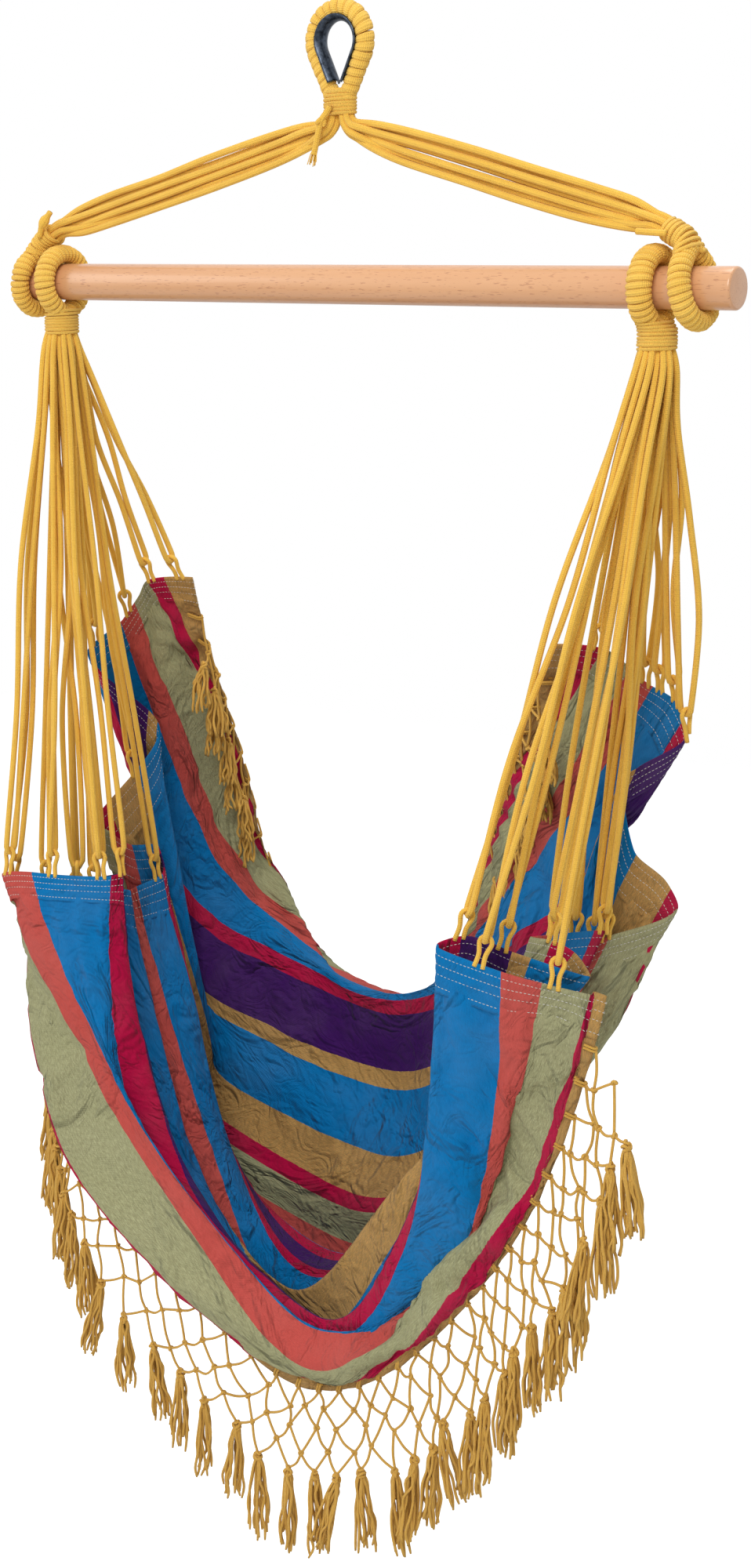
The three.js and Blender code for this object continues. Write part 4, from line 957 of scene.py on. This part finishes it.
# Bridle
def leg_stations(reach, drop):
    """Rows along a leg: how far out, how far down, its lean, and how far its cords spread.

    A spread below 0 is a share by which the cords are pressed together inside a throat.
    """
    top, foot, tilt = bridle_bend_radius, bridle_end_bend_radius, bridle_throat_lean
    lean = math.atan2(reach, drop)
    for _ in range(30):
        lean = math.atan2(
            reach - top * (1 - math.cos(lean)) - foot * (math.cos(tilt) - math.cos(lean)),
            drop - top * math.sin(lean) - foot * (math.sin(lean) - math.sin(tilt)),
        )
    rows = [(-0.004, -0.014, 0, -0.4), (-0.0035, -0.006, 0, -0.36)]
    for a in np.linspace(0, lean, 6):
        left = 1 - a / lean
        rows.append((top * (1 - math.cos(a)) - 0.003 * left, top * math.sin(a), a, -0.3 * left))
    top_x, top_z = top * (1 - math.cos(lean)), top * math.sin(lean)
    run_x = reach - top_x - foot * (math.cos(tilt) - math.cos(lean))
    run_z = drop - top_z - foot * (math.sin(lean) - math.sin(tilt))
    for share, spread in ((0.06, 0.55), (0.16, 0.9), (0.4, 1.0), (0.6, 1.0), (0.8, 0.92), (0.93, 0.6)):
        rows.append((top_x + run_x * share, top_z + run_z * share, lean, spread))
    for a in np.linspace(lean, tilt, 4):
        rows.append((
            reach - foot * (math.cos(tilt) - math.cos(a)), drop - foot * (math.sin(a) - math.sin(tilt)), a, 0,
        ))
    inner_x, inner_z = throat_inside * math.sin(tilt), throat_inside * math.cos(tilt)
    rows.append((reach + inner_x, drop + inner_z, tilt, -0.15))
    return rows


# The cords of a leg are not drawn equally tight: how far each hangs below its line at mid-run
leg_sags = {
    "left": (0.002, 0.001, 0.0005, 0, 0, 0, 0),
    "right": (0.004, 0.003, 0.002, 0.001, 0, -0.0005, -0.001),
}


def bridle_leg(side, sign, seed):
    """Seven cords side by side, straight from the eye's throat to the throat of their ring."""
    centre, axis = bridle_throat(sign, ring_places[f"bridle_{side}"] * bar_length)
    start = np.array([sign * bridle_top_inset, 0, bridle_top_level])
    end = centre + axis * ring_throat_height / 2
    reach = abs(end[0] - start[0])
    stations = leg_stations(reach, start[2] - end[2])
    offset = bridle_cord + bridle_cord_gap
    round_one = [
        (offset * math.sin(a), offset * math.cos(a)) for a in math.pi / 2 + np.arange(6) * math.pi / 3
    ]
    places = sorted([(0.0, 0.0), *round_one], key=lambda place: (round(place[0], 6), place[1]))
    chance = np.random.default_rng(seed)
    solid = Solid()
    for k, (across, deep) in enumerate(places):
        wave = chance.normal(0, 0.0008, (len(stations), 2))
        wave[:8] = wave[-5:] = 0
        points = []
        for (x, fall, angle, spread), (a, b) in zip(stations, wave):
            way = X * sign * math.cos(angle) + Z * math.sin(angle)
            ribbon, squeeze = max(spread, 0), 1 + min(spread, 0)
            wide = across * squeeze * (1 - ribbon) + (k - 3) * bridle_ribbon_pitch * ribbon
            thick = deep * squeeze * (1 - ribbon) + (1 if k % 2 else -1) * bridle_ribbon_zigzag * ribbon
            sag = leg_sags[side][k] * math.sin(math.pi * min(1, max(0, x / reach))) ** 1.5
            points.append(start + X * sign * x - Z * (fall + sag) + way * (wide + a) + Y * (thick + b))
        add_cord(solid, through(points, 110), bridle_cord * bridle_fullness, 12)
    solid.piece(f"bridle_leg_{side}", cord_cotton, "bridle", "golden_cord", f"bridle_cords_{side}")


# Suspension
def bundle_places(count, pitch):
    """The nearest places to the middle on a close-packed grid, with the row that each is in."""
    reach = math.ceil(math.sqrt(count))
    places = [
        ((k + (0.5 if row % 2 else 0)) * pitch, row * pitch * math.sin(math.pi / 3), row)
        for row in range(-reach, reach + 1) for k in range(-reach, reach + 1)
    ]
    places.sort(key=lambda p: (round(math.hypot(p[0], p[1]), 9), p[1], p[0]))
    return places[:count]


def bundle_starts(ends, top):
    """Where the legs of the doubled cords leave the bundle, ordered so that few cross."""
    fall = ends - top
    slope = fall[:, :2] / -fall[:, 2:]
    places = bundle_places(len(ends), bundle_pitch)
    order = sorted(range(len(ends)), key=lambda k: slope[k, 1])
    starts = np.zeros_like(ends)
    for row in sorted({place[2] for place in places}):
        in_row = sorted((place for place in places if place[2] == row), key=lambda p: p[0])
        legs = sorted(order[:len(in_row)], key=lambda k: slope[k, 0])
        order = order[len(in_row):]
        for leg, place in zip(legs, in_row):
            starts[leg] = top + np.array([place[0], place[1], 0])
    return starts


def hem_attachment(side, t, gather):
    """The loop that stands out of the hem at a place, and the bight of the doubled cord in it."""
    s = 0.0 if side == "left" else 1.0
    base = cloth_points(s, t)[0, 0]
    step = 0.008
    along = unit(cloth_points(s, min(1, t + step))[0, 0] - cloth_points(s, max(0, t - step))[0, 0])
    rise = unit(gather - base)
    level = unit(along - rise * (along @ rise))
    across = unit(np.cross(rise, level))
    half = hem_loop_cord / 2 + suspension_cord / 2 + loop_clearance
    crown = base + rise * hem_loop_height
    foot, low = along * half * 0.7, level * half * 0.55
    sunk, lifted = base - rise * 0.004, base + rise * hem_loop_height * 0.35
    arch = [
        crown + level * half * math.cos(a) + rise * (half * math.sin(a) - half)
        for a in np.linspace(math.pi, 0, 7)
    ]
    loop = [sunk - foot, lifted - low, *arch, lifted + low, sunk + foot]
    bottom = crown - rise * (hem_loop_cord / 2 + suspension_cord / 2 + fit_gap)
    bight = [
        bottom + across * half * math.cos(a) + rise * (half + half * math.sin(a))
        for a in np.linspace(math.pi, 2 * math.pi, 7)
    ]
    return np.array(loop), np.array(bight)


def nearest(a0, a1, b0, b1):
    """Shares along pairs of straight runs where they come nearest, and the way between them."""
    da, db, r = a1 - a0, b1 - b0, a0 - b0
    aa, bb = (da * da).sum(1), (db * db).sum(1)
    ab, ar, br = (da * db).sum(1), (da * r).sum(1), (db * r).sum(1)
    spread = np.maximum(aa * bb - ab * ab, 1e-12)
    u = np.clip((ab * br - ar * bb) / spread, 0, 1)
    v = np.clip((ab * u + br) / bb, 0, 1)
    u = np.clip((ab * v - ar) / aa, 0, 1)
    return u, v, a0 + da * u[:, None] - b0 - db * v[:, None]


def press_apart(paths, spacing, rounds):
    """Moves the inner points of the paths aside where they would run through one another."""
    count, length = paths.shape[:2]
    first, second = np.triu_indices(count, 1)
    for _ in range(rounds):
        shift = np.zeros_like(paths)
        worst = spacing
        for a in range(length - 1):
            for b in range(length - 1):
                runs = paths[first, a], paths[first, a + 1], paths[second, b], paths[second, b + 1]
                u, v, apart = nearest(*runs)
                far = np.linalg.norm(apart, axis=1)
                close = (far < spacing) & (far > 1e-9)
                if not close.any():
                    continue
                worst = min(worst, far[close].min())
                push = apart[close] / far[close, None] * ((spacing - far[close]) / 2)[:, None] * 0.6
                u, v = u[close, None], v[close, None]
                for place, share, who, sign in (
                    (a, 1 - u, first, 1), (a + 1, u, first, 1),
                    (b, 1 - v, second, -1), (b + 1, v, second, -1),
                ):
                    if 0 < place < length - 1:
                        np.add.at(shift[:, place], who[close], sign * push * share)
        paths = paths + shift
        if worst > spacing - 0.0002:
            break
    return paths


def suspension(side, seed):
    """The doubled cords from a seat ring's throat through the loops of a hem, and those loops."""
    ring_x = ring_places[f"seat_{side}"] * bar_length
    top = np.array([ring_x, 0, suspension_top_level - bundle_root])
    loops, bights = zip(*[hem_attachment(side, t, top) for t in hem_loop_shares[side]])
    ends = np.array([end for bight in bights for end in (bight[0], bight[-1])])
    starts = bundle_starts(ends, top)
    paths = starts[:, None] + (ends - starts)[:, None] * np.array(leg_shares)[None, :, None]
    sway = np.random.default_rng(seed).normal(0, 1, paths.shape) * np.array(leg_sway_shares)[None, :, None]
    paths = paths + sway * np.array([leg_sway, leg_sway, 0.0])
    paths = press_apart(paths, suspension_cord + leg_gap, press_rounds)
    inside = np.array([ring_x, 0, suspension_top_level + throat_inside])
    drawn_in = np.array([drawn_in_share, drawn_in_share, 0])
    cords = Solid()
    for bight, down_leg, up_leg in zip(bights, paths[::2], paths[1::2]):
        first, last = (inside + (leg[0] - inside) * drawn_in for leg in (down_leg, up_leg))
        line = [first, *down_leg[:-1], *bight, *up_leg[:-1][::-1], last]
        add_cord(cords, through(line, 150), suspension_cord * suspension_fullness, 10)
    cords.piece(f"suspension_cord_run_{side}", cord_cotton, "seat", "golden_cord", f"suspension_cords_{side}")
    standing = Solid()
    for loop in loops:
        add_cord(standing, through(loop, 26), hem_loop_cord, 8)
    standing.piece(f"hem_cord_loops_{side}", cord_cotton, "seat", "golden_cord")


# Tails of cord
def knot(solid, centre, size, chance, cord=net_cord * 1.15, sides=6):
    """A small overhand knot: a closed twisted ring of thread."""
    turn = np.linspace(0, 2 * np.pi, 17)[:-1, None]
    wild = chance.normal(0, 1, (3, 3))
    one = unit(wild[0])
    two = unit(np.cross(one, wild[1]))
    ring = centre + size * (
        np.cos(turn) * one + np.sin(turn) * two + 0.45 * np.sin(2 * turn) * np.cross(one, two)
    )
    add_cord(solid, np.vstack([ring, ring[:2]]), cord, sides)


def cord_tail(name, start, shares, replaced, widths=(1, 1)):
    """A short end of cord through shares of its diameter, with widths along it."""
    path = through([start + np.array(p) * tail_cord for p in shares], 40)
    solid = Solid()
    widths = np.interp(np.linspace(0, 1, 40), np.linspace(0, 1, len(widths)), widths)
    add_cord(solid, path, tail_cord, 12, widths)
    return solid.piece(name, cord_cotton, "bridle", "golden_cord", replaced), path


def frayed_end(name, end, way, seed):
    """Loose yarns where a cord is cut."""
    chance = np.random.default_rng(seed)
    solid = Solid()
    for _ in range(16):
        spread = chance.normal(0, 1, 3)
        spread = spread - way * (spread @ way)
        tip = end + way * chance.uniform(0.006, 0.013) + spread * 0.003
        yarn = through([end - way * 0.006 + spread * 0.0012, end + spread * 0.0022, tip], 8)
        add_cord(solid, yarn, 0.0011, 5)
    return solid.piece(name, cord_cotton, "bridle", "golden_cord")


def eye_tail():
    """The knotted tail of the eye's winding, which hangs free."""
    start = np.array([-0.003, -eye_throat_half_depth - 0.0035 - fit_gap + 0.00095, -eye_throat_middle])
    shares = [(0, 0, 0), (-0.6, -0.2, -1), (-1.1, -0.65, -1.9), (-1.7, -0.45, -2.8), (-3, -0.45, -7.5)]
    tail, path = cord_tail("eye_tail_knotted", start, shares, "eye_tail")
    solid = Solid()
    knot(solid, path[14], 0.0042, np.random.default_rng(42), 0.005, 10)
    tied = solid.piece("eye_tail_knot", cord_cotton, "bridle", "golden_cord")
    frayed = frayed_end("eye_tail_frayed_end", path[-1], unit(path[-1] - path[-4]), 41)


def bridle_tails():
    """The cut ends of the windings of the bridle's throats; the left one has a knot in it."""
    for side, sign, inset, shares, widths in (
        ("left", -1, 0.0015, [(0, 0, 0), (1, -0.2, 2), (2.9, 0, 4.3)], (1, 1, 1.1, 1.75, 1.75, 1.05, 1)),
        ("right", 1, 0.0016, [(0, 0, 0), (-1.8, -0.2, 0.1), (-5, 0, 0.3)], (1, 1)),
    ):
        centre, _ = bridle_throat(sign, ring_places[f"bridle_{side}"] * bar_length)
        start = centre - Y * (bridle_throat_half_depth + 0.0035 + fit_gap - inset)
        cord_tail(f"bridle_tail_{side}", start, shares, f"bridle_ring_tail_{side}", widths)


# Seat cloth
def settle(piece, holding, frames, slack):
    """Lets the cloth fall into its small creases, held softly near the shape it hangs in."""
    group = piece.vertex_groups.new(name="held")
    for weight in np.unique(holding):
        group.add(np.nonzero(holding == weight)[0].tolist(), float(weight), "REPLACE")
    modifier = piece.modifiers.new("settling", "CLOTH")
    cloth = modifier.settings
    cloth.quality = 6
    cloth.mass = 0.3
    cloth.tension_stiffness = 12
    cloth.compression_stiffness = 12
    cloth.shear_stiffness = 4
    cloth.bending_stiffness = 0.12
    cloth.vertex_group_mass = "held"
    cloth.pin_stiffness = 0.35
    cloth.shrink_min = -slack
    cloth.effector_weights.gravity = 0.35
    modifier.collision_settings.use_collision = False
    modifier.collision_settings.use_self_collision = False
    modifier.point_cache.frame_start = 1
    modifier.point_cache.frame_end = frames
    scene = bpy.context.scene
    for number in range(1, frames + 1):
        scene.frame_set(number)
    settled = bpy.data.meshes.new_from_object(piece.evaluated_get(bpy.context.evaluated_depsgraph_get()))
    points = np.empty(len(settled.vertices) * 3)
    settled.vertices.foreach_get("co", points)
    piece.modifiers.clear()
    piece.vertex_groups.clear()
    bpy.data.meshes.remove(settled)
    scene.frame_set(1)
    return points.reshape(-1, 3)


def seat_surface():
    """The cloth between its hems as a grid of points, creased by a simulation."""
    rows, columns = cloth_grid
    t = np.linspace(0, 1, rows)
    s = np.linspace(0, 1, columns)
    shape = cloth_points(s, t)
    mesh = bpy.data.meshes.new("settling_cloth")
    faces = [
        [i * columns + j, i * columns + j + 1, (i + 1) * columns + j + 1, (i + 1) * columns + j]
        for i in range(rows - 1) for j in range(columns - 1)
    ]
    rough = shape.reshape(-1, 3) + np.random.default_rng(5).normal(0, cloth_roughness, (rows * columns, 3))
    mesh.from_pydata(rough.tolist(), [], faces)
    piece = bpy.data.objects.new("settling_cloth", mesh)
    bpy.context.collection.objects.link(piece)
    in_hem = (s <= hem_share + 0.003) | (s >= 1 - hem_share - 0.003)
    weight = np.tile(np.where(in_hem, 1.0, cloth_hold), (rows, 1))
    for row, least in ((0, 1.0), (1, 0.8), (2, 0.4), (-3, 0.4), (-2, 0.8), (-1, 1.0)):
        weight[row] = np.maximum(weight[row], least)
    points = settle(piece, weight.ravel(), settling_frames, settling_slack).reshape(rows, columns, 3)
    bpy.data.objects.remove(piece)
    bpy.data.meshes.remove(mesh)
    moved = points - shape
    length = np.linalg.norm(moved, axis=2, keepdims=True)
    return s, t, shape + moved * np.minimum(1, most_settling / np.maximum(length, 1e-9))


def seat_cloth():
    """The woven cloth, with more points between those of the simulation."""
    s, t, surface = seat_surface()
    s, t = finer(s, 2), finer(t, 2)
    surface = np.swapaxes(finer(np.swapaxes(finer(surface, 2), 0, 1), 2), 0, 1)
    between = (s > hem_share * 0.6) & (s < 1 - hem_share * 0.6)
    middle = surface[:, between]
    normal = unit(np.cross(np.gradient(middle, axis=1), np.gradient(middle, axis=0)))
    solid = sheet_solid(middle, normal * cloth_thickness / 2, s[between] * cloth_length, t * cloth_width)
    return solid.piece("seat_cloth_woven", stripe_cotton, "seat", "striped_cloth", "seat_cloth")


# Hems
def stitch_tree():
    """Geometry nodes that sew a row: a short raised stitch at each even step of a line."""
    tree = bpy.data.node_groups.new("sewn_row", "GeometryNodeTree")
    face = tree.interface
    face.new_socket("Geometry", in_out="INPUT", socket_type="NodeSocketGeometry")
    for name in ("Pitch", "Length", "Width"):
        face.new_socket(name, in_out="INPUT", socket_type="NodeSocketFloat")
    face.new_socket("Thread", in_out="INPUT", socket_type="NodeSocketMaterial")
    face.new_socket("Geometry", in_out="OUTPUT", socket_type="NodeSocketGeometry")
    nodes = Nodes(tree)
    end = tree.nodes.new("NodeGroupOutput")
    given = nodes.node("NodeGroupInput", output="Geometry")
    width = given.beside("Width")
    curve = nodes.node("GeometryNodeMeshToCurve", {"Mesh": given})
    steps = {"Curve": curve, "Length": given.beside("Pitch")}
    points = nodes.node("GeometryNodeCurveToPoints", steps, output="Points", mode="LENGTH")
    stitch = nodes.node("GeometryNodeMeshUVSphere", {"Segments": 6, "Rings": 4, "Radius": 0.5}, output="Mesh")
    size = nodes.node("ShaderNodeCombineXYZ", {"X": width, "Y": width, "Z": given.beside("Length")})
    stitches = nodes.node("GeometryNodeInstanceOnPoints", {
        "Points": points, "Instance": stitch, "Rotation": points.beside("Rotation"), "Scale": size,
    })
    real = nodes.node("GeometryNodeRealizeInstances", {"Geometry": stitches})
    smooth = nodes.node("GeometryNodeSetShadeSmooth", {"Geometry": real})
    sewn_in = {"Geometry": smooth, "Material": given.beside("Thread")}
    nodes.put(end.inputs["Geometry"], nodes.node("GeometryNodeSetMaterial", sewn_in))
    return tree


sewing = stitch_tree()


def sewn(name, lines):
    """Rows of stitches along lines of points, as one plain mesh."""
    edges = []
    base = 0
    for line in lines:
        edges += [[base + k, base + k + 1] for k in range(len(line) - 1)]
        base += len(line)
    mesh = bpy.data.meshes.new(name + "_lines")
    mesh.from_pydata(np.vstack(lines).tolist(), edges, [])
    source = bpy.data.objects.new(name + "_lines", mesh)
    bpy.context.collection.objects.link(source)
    modifier = source.modifiers.new("sewing", "NODES")
    modifier.node_group = sewing
    sizes = {"Pitch": stitch_pitch, "Length": stitch_length, "Width": stitch_width}
    values = {**sizes, "Thread": white_thread}
    for item in sewing.interface.items_tree:
        if item.item_type == "SOCKET" and item.in_out == "INPUT" and item.name in values:
            modifier[item.identifier] = values[item.name]
    result = bpy.data.meshes.new_from_object(source.evaluated_get(bpy.context.evaluated_depsgraph_get()))
    result.name = name
    bpy.data.objects.remove(source)
    bpy.data.meshes.remove(mesh)
    return new_piece(name, result, "seat")


def hem(side):
    """The folded edge of the cloth, puffed a little between its rows of stitching, and its thread."""
    t = np.linspace(0, 1, 420)
    places = np.linspace(0.0, 1.0, 15)
    s = places * hem_share
    middle = cloth_points(s if side == "left" else 1 - s, t)
    across = unit(np.gradient(middle, axis=1))
    along = unit(np.gradient(middle, axis=0))
    normal = unit(np.cross(across, along))
    near = np.abs(places[:, None] - np.array(hem_stitch_shares)[None]).min(axis=1)
    puff = hem_thickness / 2 * (0.72 + 0.5 * np.clip(near / 0.10, 0, 1))
    puff[0] *= 0.45
    ripple = 1 + 0.10 * np.sin(t * cloth_width * math.tau / hem_ripple)[:, None] * np.sin(places * 9)[None]
    half = (puff[None] * ripple)[..., None] * normal
    band = sheet_solid(middle, half, places * hem_height, t * cloth_width)
    band = band.piece(f"hem_fold_{side}", stripe_cotton, "seat", "hem_cloth", f"hem_band_{side}")
    lines = []
    for share in hem_stitch_shares:
        column = int(round(share * (len(places) - 1)))
        for face in (1, -1):
            lines.append(middle[:, column] + normal[:, column] * face * hem_thickness * 0.40)
    return [band, sewn(f"hem_stitching_{side}", lines)]


# Fringes
def edge_frames(edge, s):
    """Where a fringe hangs along an edge of the cloth: places, ways out and ways to hang."""
    s = np.atleast_1d(s).astype(float)
    t = np.full(len(s), float(edge))
    beyond = 1 if edge == 1 else -1
    point, along, normal = cloth_frames(s, t)
    span = unit(cloth_frames(np.minimum(1, s + 0.04), t)[0] - cloth_frames(np.maximum(0, s - 0.04), t)[0])
    outwards = unit(np.cross(normal, span))
    wrong = (outwards * along).sum(1) * beyond < 0
    outwards[wrong] *= -1
    fall = unit(-Z + span * span[:, 2:3])
    return point, outwards, unit(fall * 0.5 - Z * 0.5 - Y * beyond * 0.3)


def tassel(solid, top, chance, way, full):
    """Loose strands below a knot, with a neck and ends of uneven length."""
    count = int(chance.integers(13, 17))
    lean = np.array([chance.normal(0, 0.07), chance.normal(0, 0.05), -1.0])
    lean = unit(lean + way * 0.10)
    side_a = unit(np.cross(lean, Y))
    side_b = np.cross(lean, side_a)
    for k in range(count):
        angle = 2 * math.pi * k / count + chance.normal(0, 0.3)
        far = tassel_radius * math.sqrt(chance.uniform(0.02, 1))
        length = full * chance.uniform(0.80, 1.03)
        out = side_a * math.cos(angle) + side_b * math.sin(angle)
        swirl = side_a * -math.sin(angle) + side_b * math.cos(angle)
        points = [top - lean * 0.004]
        for share in (0.08, 0.25, 0.45, 0.65, 0.85, 1.0):
            spread = tassel_neck + (far - tassel_neck) * min(1, 0.2 + share * 1.2)
            wave = chance.normal(0, strand_wave, 2)
            points.append(top + lean * length * share + out * (spread + wave[0] * share) + swirl * wave[1])
        add_cord(solid, through(points, 22), strand, 5, np.array([1.0] * 20 + [0.9, 0.7]))


def net_grid(edge, first, step, columns, rows, depth, chance):
    """The knots of a net, by row and place in the row; every second row is half a mesh aside."""
    grid = {}
    for row in range(rows + 1):
        odd = row % 2
        point, outwards, hang = edge_frames(edge, first + (np.arange(columns + 1 - odd) + 0.5 * odd) * step)
        for k in range(len(point)):
            down, jitter, out = 0, 0, 0.002
            if row:
                down = depth * row / rows * chance.uniform(0.92, 1.06)
                jitter = chance.normal(0, net_wave, 3)
                out = 0.003
            grid[row, k] = point[k] + outwards[k] * out + hang[k] * down + jitter
    return grid


def edge_wraps(solid, edge, places):
    """Pairs of thread round the edge of the cloth, which carry the net."""
    point, outwards, _ = edge_frames(edge, places)
    for k, s in enumerate(places):
        inner, _, face = (v[0] for v in cloth_frames(s, abs(edge - wrap_inset / cloth_width)))
        lift = face * wrap_lift
        ring = [inner + lift, point[k] + lift * 0.8, point[k] + outwards[k] * wrap_lift,
                point[k] - lift * 0.8, inner - lift]
        for twin in (-1, 1):
            aside = unit(np.cross(face, outwards[k])) * twin * wrap_half_pitch
            add_cord(solid, through([p + aside for p in ring], 16), wrap_thread, 6)


def fringe(name, edge, first, last, columns, rows, depth, full, seed):
    """A knotted net hung from an edge of the cloth, with a tassel below each of its lowest knots."""
    chance = np.random.default_rng(seed)
    step = (last - first) / columns
    grid = net_grid(edge, first, step, columns, rows, depth, chance)
    threads = Solid()
    tassels = Solid()
    for (row, k), place in grid.items():
        for other in (k, k + 1) if row % 2 else (k - 1, k):
            if (row + 1, other) in grid:
                below = grid[row + 1, other]
                middle = (place + below) / 2 - Z * thread_slack + chance.normal(0, thread_wave, 3)
                add_cord(threads, through([place, middle, below], 9), net_cord, 6)
    for (row, k), place in grid.items():
        if row:
            knot(threads, place, net_knot, chance)
    for k in range(columns + 1 - rows % 2):
        base = grid[rows, k]
        way = unit(base - grid[rows - 1, min(k, columns - 1)]) * 0.4
        for fall, size in tassel_knots:
            knot(tassels, base - Z * fall, size, chance)
        tassel(tassels, base - Z * 0.006, chance, way, full)
    edge_wraps(threads, edge, first + np.arange(columns + 1) * step)
    return [
        threads.piece(name + "_net", fringe_cotton, "seat", "fringe_thread", name),
        tassels.piece(name + "_tassels", fringe_cotton, "seat", "fringe_thread"),
    ]


turned_bar()
hanging_eye()
bar_rings()
bridle_leg("left", -1, 31)
bridle_leg("right", 1, 32)
eye_tail()
bridle_tails()
suspension("left", 71)
suspension("right", 72)
seat = seat_cloth()
trimmings = [
    *hem("left"),
    *hem("right"),
    *fringe("front_fringe", 1, 0.035, 0.965, 38, 4, 0.098, tassel_length, 51),
    *fringe("back_fringe_left", 0, 0.04, 0.40, 13, 2, 0.06, back_tassel_length, 53),
    *fringe("back_fringe_right", 0, 0.60, 0.96, 13, 2, 0.06, back_tassel_length, 55),
]


# Studio: a pale floor, soft lamps and a white ground behind
def ground(strength):
    """A world that is white to the camera and in reflections, and lights softly otherwise."""
    world = bpy.data.worlds.new("studio")
    world.use_nodes = True
    bpy.context.scene.world = world
    nodes = Nodes(world.node_tree)
    camera_ray = nodes.node("ShaderNodeLightPath", output="Is Camera Ray")
    seen = nodes.math("MAXIMUM", camera_ray, camera_ray.beside("Is Glossy Ray"))
    seen = nodes.math("MAXIMUM", seen, camera_ray.beside("Is Transmission Ray"))
    soft, white = (
        nodes.node("ShaderNodeBackground", {"Color": (1, 1, 1, 1), "Strength": level})
        for level in (strength, 1.0)
    )
    mixed = nodes.node("ShaderNodeMixShader", {0: seen, 1: soft, 2: white})
    nodes.put(world.node_tree.nodes["World Output"].inputs["Surface"], mixed)


def lamp(name, place, target, size, power):
    data = bpy.data.lights.new(name, "AREA")
    data.shape = "DISK"
    data.size = size
    data.energy = power
    light = bpy.data.objects.new(name, data)
    light.location = place
    light.rotation_euler = (Vector(target) - Vector(place)).to_track_quat("-Z", "Y").to_euler()
    bpy.context.collection.objects.link(light)


def pale_floor(half, level):
    mesh = bpy.data.meshes.new("floor")
    corners = [(-half, -half, level), (half, -half, level), (half, half, level), (-half, half, level)]
    mesh.from_pydata(corners, [], [[0, 1, 2, 3]])
    floor = bpy.data.objects.new("floor", mesh)
    bpy.context.collection.objects.link(floor)
    sh = Shader("pale_floor")
    glow = sh.mix(sh.node("ShaderNodeLightPath"), (0, 0, 0, 1), (0.55, 0.55, 0.55, 1))
    sh.set(Base_Color=(0.93, 0.93, 0.93, 1), Roughness=0.9, Emission_Color=glow, Emission_Strength=1.0)
    mesh.materials.append(sh.material)


bpy.context.scene.view_settings.view_transform = "Standard"
ground(0.50)
lamp("key_lamp", (1.2, -3.0, 1.6), (0, 0, -0.9), 2.0, 80.0)
lamp("fill_lamp", (-2.8, -1.6, 0.4), (0, 0, -1.0), 2.4, 26.0)
lamp("top_lamp", (0.2, 0.6, 2.4), (0, 0, -0.8), 1.8, 30.0)
pale_floor(6.0, -2.35)
